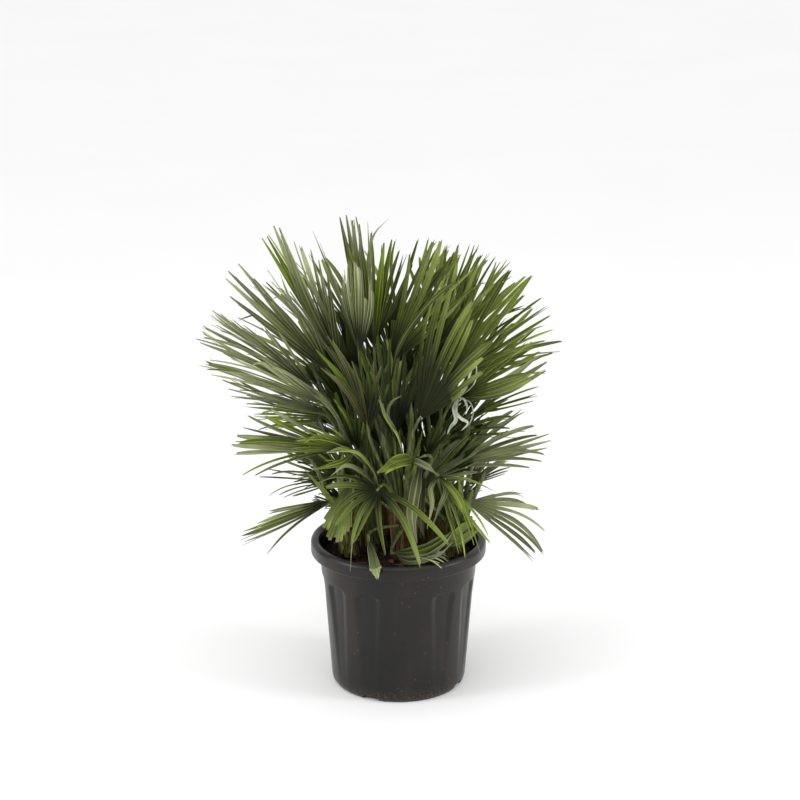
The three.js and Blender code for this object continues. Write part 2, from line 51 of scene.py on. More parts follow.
# Studio, in metres: light from all round, a broad one from above, a disk at each side, and a pale floor
SKY_STRENGTH = 0.72
OVERHEAD = Sizes(energy=1.0, angle=100, way=(0.3, 0.42, -1))
SIDE_LIGHT = Sizes(size=0.9, energy=26, aim=(0, 0, 0.4))
SIDE_LIGHTS = {"left_box": (-2.4, -0.9, 1.2), "right_box": (2.4, -0.7, 1.1)}
FLOOR = Sizes(reach=40.0, dark=(0.93, 0.93, 0.93, 1), light=(0.96, 0.96, 0.96, 1))

# Pot, and the points and heights that round off its outline
POT = Sizes(
    height=242, wall=3, columns=288, foot_ring=60, foot_radius=101, foot_flare=4, foot_rise=3, floor_ring=50,
    body_low=10, body_radius_low=108, body_top=150, body_radius_high=119, shoulder_top=187,
    shoulder_radius=123.5, collar_radius=125.5, ledge=216, lip_bottom=219, lip_radius=140, lip_round=4,
    lip_side=(228, 233), crown_round=6, crown_radius=131.5,
)
FOOT_EDGE = [(99, 0), (101, 0), (103.3, 0.8), (105, 3), (106.8, 6)]
WALL_HEIGHTS = [10, 14, 20, 30, 42, 56, 70, 84, 98, 112, 126, 138, 150, 160, 168, 172, 174.5, 177, 179, 181]
WALL_HEIGHTS += [182.5, 184, 185.2, 186.2, 187, 188.5, 194, 202, 210, 215]
UNDER_LIP = [(126.5, 217.6), (129, 218.8)]
LIP_INSIDE = [(129.6, 241.5), (128.2, 240.2), (127, 238), (125.5, 232), (124, 224)]
INSIDE_HEIGHTS = [208, 200, 192, 187, 180, 172, 150, 110, 60, 10]
FLUTES = Sizes(
    count=12, first=246, depth=4.5, half_width=9, growth=(0.45, 0.55), edge=6, arch=12, top_slope=2.5,
)
NOTCHES = Sizes(count=4, first=245, width=24, height=8.5, inner_radius=96, edge=1)

# Soil
SOIL = Sizes(
    top=220, edge_drop=5, flat_radius=84, slope=36, clearance=0.5, wide_from=196, rings=30, columns=120,
)
LUMPS = Sizes(size=26, fractal=(0.8, 2.1, 4), height=2.6, crumb=3.5, crumb_height=0.9, sunk=1.5)
CHIPS = Sizes(count=420, least=1.6, most=6.5, mostly_small=2.2, reach=116, above=0.12, dark_share=0.6)
STRAWS = Sizes(count=46, least=10, most=26, radius=0.4, place=104, bend=0.35, above=1.2)

# A chip of bark, as shares of its size: its rings have a level and a width, and tops at half its thickness.
# In pairs, here and below, the second number is how much more than the first a value may be
CHIP = Sizes(
    slant=0.9, whole_turn=6.28, sides=(5, 2), stretch=(0.35, 0.5), reach=(0.72, 0.5), half=0.18,
    rings=[(-0.14, 0.86), (0.0, 1.0), (0.14, 0.8)],
)

# Stems: place on the soil, bearing and angle of the lean, radius and height
Stem = namedtuple("Stem", "name x y bearing lean radius height")
STEMS = [
    Stem("stem_front", 10, -32, 265, 5, 19, 92),
    Stem("stem_right", 54, -2, 350, 9, 17, 82),
    Stem("stem_left", -38, 2, 175, 9, 18, 88),
    Stem("stem_back_left", -22, 50, 110, 7, 17, 90),
    Stem("stem_back_right", 34, 48, 70, 7, 17, 86),
    Stem("shoot_left", -76, -26, 200, 12, 13, 62),
    Stem("shoot_right", 86, -34, 335, 12, 13, 58),
]
USUAL_HEIGHT = 90
MIDDLE_LEAN = 0.3
STEM = Sizes(
    heart=0.62, flare=1.2, flare_to=0.3, neck=0.8, neck_from=0.7, columns=44, rings=26, below=2,
    above=4, relief=1.1, ridge=2.2, ridge_length=16, lump=11, sunk=1.2,
)
BOOTS = Sizes(
    count=56, height=58, long=(0.8, 0.5), half_turn=12, narrowing=0.5, thickness=2.4, clear=0.4, lift=3.6,
    rising=1.2, hollow=0.8, torn=0.1, shift=40, topmost=0.86, highest=1.06, rows=7, columns=9,
)
FIBRES = Sizes(
    count=90, radius=0.32, turn=46, rise=26, rising=(0.4, 0.8), clear=0.6, wave=1.2, stray=3.0, topmost=0.92,
    highest=1.05,
)
OLD_STALKS = Sizes(count=11, least=50, most=215, lean=0.34, thin=2.6, thick=4.8, place=0.45, shift=40)
SPEARS = Sizes(count=3, least=90, most=190, lean=(0.1, 0.3), width=9, fold=62)

# Leaf stalks and their teeth
STALK = Sizes(
    root_radius=3.8, hub_radius=2.3, root_inside=0.35, bow=0.06, steps=18, sheath=0.24, sheath_width=2.3,
    costa=0.16, costa_drop=1.2, leave=0.2, arrive=0.22, arrive_aside=0.6, steepest=85, bare=0.3, edge=0.8,
    tooth_gap=11, tooth=2.4, tooth_half=1.1, tooth_ahead=(-0.4, 2.0), tooth_up=0.5, tooth_keel=0.8,
)
# The outline of a stalk, as shares of its radius: hollow above and keeled below
STALK_SECTION = [(1.0, 0.28), (0.55, 0.5), (-0.55, 0.5), (-1.0, 0.28)]
STALK_SECTION += [(-0.92, -0.25), (-0.5, -0.75), (0.5, -0.75), (0.92, -0.25)]

# Fan blades: shares of the frond's length, and angles in degrees
BLADE = Sizes(
    cup=0.2, side_shorter=0.22, uneven=0.1, web=[0.045, 0.1, 0.17, 0.24], web_fold=30, web_tone=(0.35, 0.3),
    web_until=0.9, least_half_width=2.4, least_leaflets=3, thickness=0.5,
)

# How leaflets stray and differ: sway as a share of the pitch, lift, sag and notch of the length, twist and
# fold in degrees, taper, kink and fork as shares of the way to the tip, and parting of a fork's two tips.
# The leaflets of a tame fan are equally wide, and those blunter than blunt taper only at their tips
LEAFLET = Sizes(
    sway=0.7, lift=0.17, twist=100, sag=(0.7, 0.6), own_sag=0.04, fold=(18, 26), folded_by=0.3,
    wide=(0.72, 0.42), side_narrower=0.3, free_by=0.12, free_gap=0.1, taper=(0.5, 0.26), blunt_taper=0.9,
    taper_power=1.7, kink=(0.5, 0.3), kink_down=0.55, kink_back=0.35, arch_up=0.8, arch_out=0.3, notch=0.05,
    fork=(0.76, 0.12), fork_middle=0.55, fork_narrower=0.7, parting=(0.6, 2.2), shared_tone=0.35,
    tame=0.5, blunt=0.5,
)

# Places of the points across a leaflet, and of the rows of points along it
ACROSS = [-1, -0.55, -0.09, 0.09, 0.55, 1]
SHARES = [0.07, 0.16, 0.26, 0.37, 0.48, 0.59, 0.69, 0.78, 0.86, 0.92, 0.965]

# Neighbouring leaflets of a fan lie in bundles: most in one, and how far they draw together or drift
BUNDLES = Sizes(most=3.6, pull_least=0.1, pull_most=0.8, drift=0.8)

# The style of a frond, beside what its row says.
# In degrees: spread of the fan, pitch of its leaflets, and a gap without leaflets.
# Shares of the frond's length: half width of a leaflet, arch, sag and droop, and split of the web.
# Middle and skew make the middle leaflets shorter and those of one side longer.
# Blunt leaflets keep a share of their width at the tip. Forked and kinked are shares of the leaflets.
# The leaflets of a closing fan lean together, those of a wild one stray, and those of a bundled one gather.
# Dark moves the light end of the colours towards the tips, which spreads the painted shade of the root, or
# towards the hub when it is below nought, which paints light over a hub in shade.
USUAL = dict(
    spread=84, droop=0.04, split=0.32, pitch=6.4, half_width=0.0215, arch=0, sag=0, blunt=0.34, closing=0,
    middle=1, skew=0, wild=1, bundled=None, gap=(0, 0), dark=0, forked=0.3, kinked=0.04,
)
INNER_STYLE = dict(half_width=0.034)
STYLES = {
    "front_low": dict(
        pitch=18, half_width=0.04, arch=0.06, sag=0.1, split=0.1, middle=0.7, skew=0.18, wild=1.5,
        bundled=0.2, gap=(36, 66), dark=0.12, forked=0,
    ),
    "front_hanging": dict(
        pitch=4.4, half_width=0.06, blunt=0.8, dark=-0.4, wild=0.12, forked=0, split=0.72,
    ),
    "over_rim": dict(
        closing=1, wild=0.12, pitch=7, half_width=0.07, blunt=0.1, dark=-0.2, forked=0, spread=44,
        split=0.7, droop=0,
    ),
    "front_folded": dict(closing=0.9, half_width=0.06, split=0.62, pitch=5),
    "front_right_low": dict(pitch=12, half_width=0.034, sag=0.12),
    "front_lying": dict(half_width=0.035, sag=0.1, split=0.3),
    "front_fan": dict(closing=0.1, half_width=0.024, blunt=0.5, dark=0.34, kinked=0, skew=0.36),
    "front_left": dict(dark=0.4, wild=1.6, closing=0.2, pitch=9, half_width=0.034),
    "front_left_low": dict(dark=0.15),
    "centre_front": dict(dark=0.2),
    "centre_right": dict(pitch=9),
    "top_front": dict(closing=0.6, pitch=5.6, half_width=0.021, split=0.2, wild=0.5, dark=0.12, blunt=0.75),
    "top_left": dict(gap=(8, 20)),
    "top_right": dict(gap=(14, 28)),
    "middle_top": dict(gap=(17, 30)),
    "left_top": dict(closing=0.42, dark=-0.2),
    "left_high": dict(closing=0.1, bundled=1.2, dark=-0.2),
    "left_middle": dict(closing=0.14, bundled=1.2, dark=-0.2),
    "left_front": dict(closing=0.14, bundled=1.2, dark=-0.2),
    "left_low": dict(pitch=7.4, bundled=1.2, dark=-0.15),
    "left_lower": dict(pitch=8, half_width=0.03),
    "left_bottom": dict(pitch=7.4, half_width=0.034, skew=-0.12, dark=0.06, forked=0.8),
    "left_bottom_back": dict(pitch=10),
    "low_left": dict(pitch=10),
    "right_top": dict(dark=-0.1),
    "right_high": dict(closing=0.1, dark=-0.15),
    "right_high_back": dict(closing=0.16, dark=-0.15),
    "right_middle": dict(pitch=8, closing=0.16, dark=-0.15),
    "right_front": dict(pitch=8, closing=0.16, dark=-0.15),
    "right_lower": dict(pitch=7.6, half_width=0.03, sag=0.03, dark=-0.6),
    "right_low_back": dict(pitch=9, dark=-0.5),
    "right_bottom": dict(pitch=8.5, half_width=0.034, sag=0.12, dark=-0.6, skew=-0.16),
    "low_right": dict(pitch=8, half_width=0.03, dark=-0.3),
    "back_right": dict(closing=0.2),
    "back_high_middle": dict(gap=(-9, 8)),
    "back_low_right": dict(pitch=10),
    "inner_front_right": dict(spread=80),
}

# How a stalk leaves its stem: degrees round it and up it, and its bow as a share of its length
ROOTS = {
    "left_top": dict(turn=-24, rise=8),
    "left_low": dict(turn=-24),
    "left_lower": dict(turn=72),
    "left_bottom": dict(rise=-16),
    "front_hanging": dict(rise=-16, bow=-0.06),
    "front_left_low": dict(turn=48, rise=-16),
    "front_lying": dict(turn=-8, rise=16, bow=-0.06),
    "centre_left": dict(turn=-72, rise=-32),
    "top_middle": dict(rise=-16),
    "right_lower": dict(turn=72, rise=-32, bow=0.08),
    "right_high": dict(turn=24, rise=-16),
    "right_high_back": dict(turn=48),
    "right_top_back": dict(rise=-16),
    "back_middle_right": dict(rise=-16),
    "back_low_left": dict(turn=-24),
    "back_low_right": dict(turn=24),
}

# Fronds: the stem that carries each, the place of its hub, the way its blade points and its size
COLUMNS = "name stem x y z bearing tilt roll length spread droop".split()
FRONDS = [
    ("left_high", 2, -106, -38, 528, 186, 49, 38, 220, 72, 0.02),
    ("left_high_back", 2, -102, 52, 518, 162, 50, 20, 190, 80, 0.02),
    ("left_top", 2, -92, 4, 532, 167, 63, 38, 236, 60, 0.02),
    ("left_middle", 2, -124, -74, 504, 191, 35, 32, 224, 82, 0.03),
    ("left_middle_back", 2, -134, 22, 492, 174, 33, 22, 200, 80, 0.03),
    ("left_front", 5, -114, -108, 498, 198, 28, 26, 212, 76, 0.04),
    ("left_low", 5, -118, -42, 462, 190, 22, 28, 172, 80, 0.04),
    ("left_low_back", 2, -114, 50, 424, 165, 10, 25, 145, 84, 0.05),
    ("left_lower", 5, -94, -62, 410, 190, 11, 62, 170, 68, 0.06),
    ("left_bottom_back", 5, -100, 24, 324, 166, 0, 50, 128, 84, 0.06),
    ("left_bottom", 5, -100, -38, 318, 190, -18, 55, 158, 46, 0.08),
    ("front_hanging", 5, -74, -88, 370, 236, -62, 10, 100, 50, 0.02),
    ("front_left_low", 5, -68, -98, 420, 200, 22, 40, 105, 84, 0.06),
    ("front_low", 0, -30, -116, 366, 220, -40, -38, 130, 196, 0.1),
    ("front_right_low", 6, 62, -98, 378, 325, -52, 20, 132, 50, 0.05),
    ("front_lying", 0, -6, -104, 254, 356, 4, 10, 90, 42, 0.1),
    ("front_folded", 0, 39, -122, 420, 200, -8, 72, 80, 32, 0.08),
    ("centre_left", 5, -70, -4, 438, 182, 12, 45, 175, 80, 0.05),
    ("centre_front", 0, -6, -62, 424, 120, 84, 10, 180, 64, 0.02),
    ("centre_right", 6, 66, -10, 408, 356, 45, 50, 145, 80, 0.04),
    ("low_left", 5, -74, 12, 326, 166, 16, 40, 125, 84, 0.06),
    ("low_right", 6, 36, -48, 350, 0, 40, 40, 120, 80, 0.05),
    ("front_fan", 0, 30, -104, 470, 352, 63, 62, 214, 66, 0.02),
    ("front_left", 0, -47, -84, 453, 240, 78, 0, 125, 74, 0.02),
    ("middle_top", 0, -16, -28, 536, 6, 61, 55, 222, 52, 0.02),
    ("top_middle", 0, -38, -14, 562, 110, 82, 0, 175, 64, 0.02),
    ("top_front", 0, -60, -62, 566, 225, 85, 0, 155, 60, 0.02),
    ("right_bottom", 6, 106, -42, 316, 350, -10, 35, 142, 68, 0.08),
    ("right_lower", 6, 78, -32, 372, 354, 27, 50, 172, 52, 0.05),
    ("right_low_back", 6, 117, 42, 433, 12, 24, 30, 125, 48, 0.05),
    ("right_front", 1, 92, -80, 499, 348, 32, 35, 158, 64, 0.04),
    ("right_middle", 1, 106, 28, 508, 9, 25, 35, 170, 64, 0.04),
    ("right_high", 1, 80, -30, 514, 352, 53, 55, 222, 72, 0.02),
    ("right_high_back", 1, 76, 56, 516, 18, 57, 40, 200, 74, 0.02),
    ("right_top_back", 1, 62, 86, 540, 60, 73, 25, 172, 64, 0.02),
    ("right_top", 1, 54, 2, 554, 10, 68, 45, 178, 64, 0.02),
    ("top_right", 4, -16, 22, 556, 18, 62, 40, 186, 56, 0.02),
    ("top_left", 3, -52, 56, 562, 142, 80, 0, 206, 40, 0.02),
    ("back_high_left", 3, -58, 112, 530, 116, 42, 10, 200, 84, 0.03),
    ("back_high_middle", 4, 8, 120, 536, 88, 50, -10, 205, 84, 0.03),
    ("back_high_right", 4, 70, 118, 520, 58, 46, 15, 200, 84, 0.03),
    ("back_middle_left", 3, -102, 100, 462, 140, 28, -15, 180, 84, 0.04),
    ("back_middle", 3, -34, 134, 458, 106, 24, 15, 184, 84, 0.04),
    ("back_middle_right", 4, 40, 136, 462, 76, 26, -15, 184, 84, 0.04),
    ("back_right", 4, 104, 100, 454, 42, 34, 15, 180, 64, 0.04),
    ("back_low_left", 3, -72, 96, 372, 132, 6, 10, 160, 84, 0.06),
    ("back_low", 3, 4, 122, 368, 92, 2, -10, 160, 84, 0.06),
    ("back_low_right", 4, 78, 96, 372, 50, 6, 12, 160, 84, 0.06),
    ("back_bottom_left", 3, -44, 90, 318, 118, -8, -10, 145, 84, 0.08),
    ("back_bottom_right", 4, 50, 92, 318, 62, -8, 10, 145, 84, 0.08),
    ("inner_middle", 3, -17, 40, 371, 110, 72, 0, 140, 84, 0.04),
]

# Small fans deep in the plant, which fill it out, with the first of the same columns. Most take the dark
# shade kind, painted shade in the gaps
INNER = [
    ("inner_left", 2, -97, 34, 368, 165, 58, 20, 130),
    ("inner_right", 4, 54, 38, 348, 70, 62, 0, 135),
    ("inner_low_left", 3, -86, 52, 300, 150, 44, 20, 110),
    ("inner_low_right", 4, 109, 50, 310, 30, 38, 20, 88),
    ("inner_front_left", 2, -62, -34, 398, 205, 62, 20, 130),
    ("inner_centre", 0, -12, -10, 428, 100, 76, 0, 150),
    ("inner_centre_right", 1, 52, 6, 420, 30, 62, 20, 140),
    ("inner_front_right", 1, 34, -56, 384, 330, 52, 30, 110),
    ("inner_top_left", 3, -72, 26, 462, 145, 60, 20, 150),
    ("inner_low_middle", 0, -26, -58, 322, 215, 44, 20, 90),
    ("inner_left_low", 2, -84, -24, 352, 190, 34, 30, 120),
    ("inner_top_right", 4, 30, 40, 470, 60, 70, 10, 150),
    ("inner_right_low", 6, 88, 6, 356, 20, 44, 20, 120),
    ("inner_left_upper", 2, -86, 14, 500, 148, 66, 20, 125),
    ("inner_left_back", 2, -94, 46, 420, 150, 58, 20, 125),
    ("inner_middle_back", 0, 2, 34, 392, 90, 80, 0, 150),
    ("inner_middle_upper", 0, -6, 34, 500, 100, 80, 0, 130),
    ("inner_middle_low", 1, 14, 24, 330, 80, 78, 0, 110),
    ("inner_right_middle", 1, 78, 20, 380, 40, 66, 20, 110),
    ("inner_right_front", 1, 60, -30, 352, 350, 50, 30, 110),
    ("inner_left_middle", 2, -66, -40, 340, 190, 56, 20, 110),
    ("inner_left_gap", 2, -70, 16, 431, 150, 62, 0, 120),
    ("inner_left_high", 2, -70, 10, 513, 140, 66, 0, 90),
    ("inner_bottom_left", 5, -73, -6, 287, 176, 22, 0, 74),
    ("inner_bottom_right", 6, 82, -20, 294, 0, 44, 0, 70),
    ("inner_bottom_middle", 5, -84, 0, 342, 180, 0, 0, 84),
    ("over_rim", 0, -46, -128, 286, 300, -62, 10, 64),
    ("inner_gap_high", 3, -70, 36, 529, 140, 66, 0, 88),
    ("inner_gap_middle", 0, -42, 26, 466, 100, 80, 0, 100),
    ("inner_gap_low", 5, -77, -24, 303, 180, 40, 0, 60),
]

# Leaflets apart from the fans: kind, width, fold along the rib, turn of the flat side, the fan whose hub
# they start at, if any, and the points that they pass
LOOSE = [
    (
        *("deep", 7, 20, 60, ""),
        [(-11, -70, 525), (2, -96, 589), (40, -112, 651), (80, -116, 689), (93, -112, 684)],
    ),
    (
        *("bright", 6, 25, 10, ""),
        [(-41, -84, 453), (-30, -100, 503), (-20, -112, 480), (-2, -120, 453), (6, -126, 428)],
    ),
    ("grey", 5, 25, 10, "", [(-5, -62, 424), (-16, -96, 478), (-10, -104, 501), (5, -108, 512)]),
    ("bright", 13, 28, 50, "front_left_low", [(-89, -112, 438), (-116, -120, 449), (-154, -124, 445)]),
    ("fresh", 9, 28, 50, "front_left_low", [(-82, -112, 409), (-104, -118, 403), (-132, -120, 397)]),
    ("grey", 15, 24, 70, "", [(19, -124, 411), (30, -130, 411), (44, -134, 405), (59, -130, 393)]),
    ("bright", 19, 26, 66, "", [(21, -124, 412), (8, -132, 417), (-8, -136, 413), (-33, -132, 397)]),
    ("silver", 5, 30, 10, "right_front", [(99, -88, 501), (105, -92, 487), (99, -92, 475)]),
    (
        *("silver", 4, 30, 40, "right_front"),
        [(109, -90, 496), (114, -94, 480), (108, -96, 463), (98, -98, 454)],
    ),
    ("silver", 6, 30, 0, "right_front", [(85, -94, 488), (88, -98, 470), (79, -100, 458), (73, -98, 441)]),
    ("silver", 5, 30, 30, "right_front", [(88, -94, 482), (96, -98, 472), (106, -98, 465), (96, -99, 453)]),
    ("silver", 4, 20, 10, "right_front", [(115, -90, 524), (119, -92, 548), (115, -90, 567)]),
    ("silver", 4, 20, 10, "right_front", [(103, -92, 519), (110, -96, 546), (118, -96, 562)]),
    ("grey", 8, 25, 0, "front_right_low", [(50, -116, 366), (52, -122, 341), (44, -118, 300)]),
    ("grey", 8, 25, 0, "front_right_low", [(73, -118, 364), (65, -124, 342), (53, -118, 306)]),
    ("fresh", 9, 25, 40, "front_right_low", [(87, -120, 384), (117, -130, 380), (150, -134, 366)]),
    ("deep", 11, 25, 10, "front_right_low", [(82, -122, 362), (105, -140, 331), (125, -146, 273)]),
    ("fresh", 11, 25, 0, "front_right_low", [(79, -122, 370), (97, -138, 345), (116, -146, 284)]),
    ("grey", 15, 20, 50, "front_lying", [(14, -115, 248), (46, -112, 252), (74, -92, 267), (89, -60, 281)]),
    ("fresh", 15, 20, 50, "front_lying", [(20, -109, 253), (52, -100, 260), (78, -76, 272), (91, -50, 283)]),
    ("grey", 14, 20, 50, "front_lying", [(16, -104, 258), (43, -96, 262), (68, -80, 271), (100, -60, 268)]),
    ("grey", 12, 20, 60, "front_lying", [(10, -118, 244), (33, -124, 246), (64, -114, 256), (83, -98, 268)]),
    ("deep", 26, 18, 50, "", [(62, -70, 250), (84, -76, 262), (104, -58, 277), (122, -36, 283)]),
    ("deep", 22, 18, 60, "", [(62, -70, 250), (92, -74, 258), (114, -58, 266), (128, -46, 272)]),
    ("grey", 2.5, 10, 0, "", [(-56, -122, 349), (-65, -144, 325), (-71, -150, 286), (-74, -151, 243)]),
    ("grey", 4.5, 10, 20, "", [(-38, -14, 562), (-49, 0, 649), (-41, 10, 726), (-14, 16, 760)]),
    ("fresh", 10, 28, 50, "front_low", [(-40, -128, 400), (-66, -134, 430), (-110, -130, 428)]),
    ("grey", 17, 26, 10, "", [(33, -88, 389), (26, -106, 356), (21, -112, 316), (29, -106, 272)]),
    ("dull", 12, 26, 30, "", [(40, -84, 384), (35, -96, 339), (35, -98, 304), (40, -92, 275)]),
    ("grey", 7, 24, 60, "", [(-34, -112, 368), (-56, -126, 396), (-80, -132, 408), (-103, -134, 392)]),
    ("grey", 6, 24, 60, "", [(-44, -100, 390), (-71, -122, 427), (-89, -128, 434), (-110, -130, 428)]),
    ("grey", 5, 20, 10, "", [(6, -90, 419), (-7, -118, 464), (-22, -122, 491), (-29, -112, 513)]),
]

# Leaflets that stand apart from their fan but grow from its hub: kind, width, share of its length that one
# bows upwards, share of its width that its tip keeps, fan, and tips
TUFTS = [
    ("grey", 3.5, 0.03, 0.2, "top_front", [(-130, -30, 750), (-119, -44, 735)]),
    ("grey", 9, -0.03, 0.3, "left_top", [(-133, -40, 723), (-121, -44, 708), (-108, -50, 690)]),
    ("grey", 4.5, 0.02, 0.2, "top_middle", [(-47, 0, 757)]),
    ("deep", 12, 0.02, 0.36, "top_middle", [(-22, 0, 724), (-10, 4, 728)]),
    ("grey", 10, 0.02, 0.36, "top_left", [(-90, 18, 760), (-80, 12, 765), (-71, 6, 758), (-60, 14, 750)]),
    ("grey", 12, -0.07, 0.36, "left_top", [(-189, -32, 758), (-180, -40, 757)]),
    ("fresh", 10, 0.0, 0.3, "left_top", [(-208, -22, 737), (-199, -34, 742)]),
    ("grey", 10, 0.0, 0.35, "left_high", [(-257, -66, 696), (-260, -74, 686), (-254, -80, 660)]),
    ("grey", 10, 0.0, 0.35, "left_high", [(-242, -60, 706)]),
    ("grey", 9, 0.03, 0.3, "left_middle", [(-294, -108, 622), (-280, -98, 643), (-298, -116, 598)]),
    ("grey", 14, 0.01, 0.5, "left_lower", [(-253, -90, 426), (-248, -84, 440)]),
    ("grey", 9, 0.0, 0.3, "left_lower", [(-239, -80, 452), (-250, -88, 432)]),
    ("pale", 9, 0.0, 0.3, "right_lower", [(236, -60, 424), (234, -54, 433), (230, -66, 414)]),
    ("pale", 13, -0.09, 0.3, "right_front", [(226, -80, 557), (224, -90, 546), (214, -70, 564)]),
    ("dull", 8, 0.12, 0.2, "front_left", [(-118, -112, 604), (-107, -116, 609), (-117, -118, 559)]),
    ("deep", 8, 0.1, 0.2, "front_left", [(-124, -116, 587), (-99, -102, 598)]),
    ("dull", 8, 0.1, 0.2, "front_left", [(-70, -116, 568), (-37, -116, 569), (-26, -112, 560)]),
    ("grey", 5, 0.14, 0.2, "front_left_low", [(-136, -134, 528), (-148, -134, 545)]),
]

# The steps of a single leaflet between two given points, its foot and how it widens, where it starts to
# taper, how much narrower its last edge is, how its colours run, and its usual fold and turn
RIBBON = Sizes(
    steps=5, widening=(0.35, 2.6), taper=0.55, end=0.5, along=(0.15, 0.8), tones=(0.2, 0.5), fold=28,
    turn=70,
)

# Kind of leaf of each frond, by the start of its name. The dark shade kind paints the shade inside the plant
FROND_KINDS = {
    "top_front": "pale", "front_low": "deep", "front_lying": "grey", "front_folded": "fresh",
    "front_right_low": "fresh", "front_hanging": "deep", "right": "fresh", "right_lower": "pale",
    "low_right": "grey", "inner": "shade", "inner_low_right": "pale", "centre_front": "shade",
    "front_left": "shade", "front_left_low": "deep", "over_rim": "grey", "left": "grey", "top_left": "grey",
    "right_bottom": "pale",
}

# The share of a fan's leaflets that are of its own kind, and the kind of the others
MAIN_SHARE = 0.8
NEXT_KIND = {
    "deep": "fresh", "fresh": "deep", "bright": "fresh", "grey": "deep", "pale": "grey", "shade": "deep",
    "dull": "shade",
}


# Numbers and directions


def at(bearing, radius, z=0.0):
    """The point at a bearing in degrees and a radius from the upright axis"""
    turn = math.radians(bearing)
    return Vector((radius * math.cos(turn), radius * math.sin(turn), z))


def chance(i, j):
    """A repeatable number from 0 to 1 for a pair of counters"""
    value = math.sin(CHANCE[0] * i + CHANCE[1] * j) * CHANCE[2]
    return value - math.floor(value)


def drawn(least_and_more, share):
    """The least value and a share of how much more it may be"""
    return least_and_more[0] + least_and_more[1] * share


def lerp(low, high, share):
    """The value at a share of the way from low to high"""
    return low + (high - low) * share


def smooth(share):
    """A share held between 0 and 1 that starts and ends gently"""
    share = min(1.0, max(0.0, share))
    return share * share * (3 - 2 * share)


def tint(red, green, blue):
    """A colour given in the 0 to 255 of a picture, as a shader takes it"""
    return (*(((c / 255 + 0.055) / 1.055) ** 2.4 if c > 10 else c / 3294 for c in (red, green, blue)), 1.0)


# Meshes


class Shell:
    """Points and faces of a piece. Each point has its place from rib to edge and from root to tip."""

    def __init__(self):
        self.points = []
        self.places = []
        self.tones = []
        self.faces = []
        self.looks = []

    def add(self, point, across=0.5, along=0.5, tone=0.5):
        """Adds a point and gives its number"""
        self.points.append(tuple(point))
        self.places.append((across, along))
        self.tones.append(tone)
        return len(self.points) - 1

    def face(self, corners, look=0):
        """Adds a face between point numbers, with the number of its material"""
        self.faces.append(tuple(corners))
        self.looks.append(look)

    def grid(self, rows, look=0):
        """Quads between rows of point numbers"""
        for low, high in zip(rows, rows[1:]):
            for k in range(len(low) - 1):
                self.face((low[k], low[k + 1], high[k + 1], high[k]), look)

    def tube(self, rings, start, end, look=0):
        """Quads round rings of point numbers, closed at a point before the first and one past the last"""
        self.grid([[*ring, ring[0]] for ring in rings], look)
        first, last = rings[0], rings[-1]
        for k in range(len(first)):
            after = (k + 1) % len(first)
            self.face((start, first[after], first[k]), look)
            self.face((end, last[k], last[after]), look)

    def join(self, other):
        """Takes in the points and faces of another shell"""
        base = len(self.points)
        self.points += other.points
        self.places += other.places
        self.tones += other.tones
        self.faces += [tuple(base + k for k in face) for face in other.faces]
        self.looks += other.looks

    def thickened(self, thickness, under):
        """The open sheet as a closed one, with the look of its lower side moved on by under"""
        points = np.array(self.points)
        normals = np.zeros_like(points)
        edges = {}
        for face, look in zip(self.faces, self.looks):
            a, b, c, d = (points[k] for k in (face if len(face) == 4 else (*face, face[0])))
            normal = np.cross(c - a, d - b) if len(face) == 4 else np.cross(b - a, c - a)
            for k in face:
                normals[k] += normal
            for pair in zip(face, face[1:] + face[:1]):
                edges[pair] = look
        normals *= 0.5 * thickness / np.maximum(np.linalg.norm(normals, axis=1), 1e-9)[:, None]
        count = len(points)
        made = Shell()
        made.points = [tuple(p) for p in np.concatenate([points + normals, points - normals])]
        made.places = self.places * 2
        made.tones = self.tones * 2
        made.faces = list(self.faces)
        made.looks = list(self.looks)
        for face, look in zip(self.faces, self.looks):
            made.face([count + k for k in reversed(face)], look + under)
        for (a, b), look in edges.items():
            if (b, a) not in edges:
                made.face((b, a, count + a, count + b), look)
        return made


def link(name, data):
    """A new object in the scene"""
    made = bpy.data.objects.new(name, data)
    bpy.context.scene.collection.objects.link(made)
    return made


def piece(name, shell, materials, replaces=(), crease=42):
    """The object of a shell. It rides on the only body, and creases sharper than an angle stay sharp."""
    mesh = bpy.data.meshes.new(name)
    mesh.from_pydata([tuple(c * MM for c in point) for point in shell.points], [], shell.faces)
    for material in materials:
        mesh.materials.append(material)
    mesh.polygons.foreach_set("material_index", shell.looks)
    mesh.polygons.foreach_set("use_smooth", [True] * len(shell.faces))
    corners = np.empty(len(mesh.loops), np.int32)
    mesh.loops.foreach_get("vertex_index", corners)
    places = mesh.uv_layers.new(name="place")
    places.uv.foreach_set("vector", np.array(shell.places, np.float32)[corners].ravel())
    tones = mesh.attributes.new("tone", "FLOAT", "POINT")
    tones.data.foreach_set("value", shell.tones)
    mesh.set_sharp_from_angle(angle=math.radians(crease))
    made = link(name, mesh)
    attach(made, "root")
    if replaces:
        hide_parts(*replaces)
    return made


def smooth_path(points, steps):
    """Points along a smooth curve through the given ones, and their directions"""
    given = [Vector(p) for p in points]
    ends = [given[0] * 2 - given[1], *given, given[-1] * 2 - given[-2]]
    path = []
    for step in range(steps + 1):
        place = step / steps * (len(given) - 1)
        k = min(int(place), len(given) - 2)
        t = place - k
        a, b, c, d = ends[k : k + 4]
        path.append(b + 0.5 * t * (c - a + t * (2 * a - 5 * b + 4 * c - d + t * (3 * (b - c) + d - a))))
    ways = [(path[min(k + 1, steps)] - path[max(k - 1, 0)]).normalized() for k in range(steps + 1)]
    return path, ways


# Materials


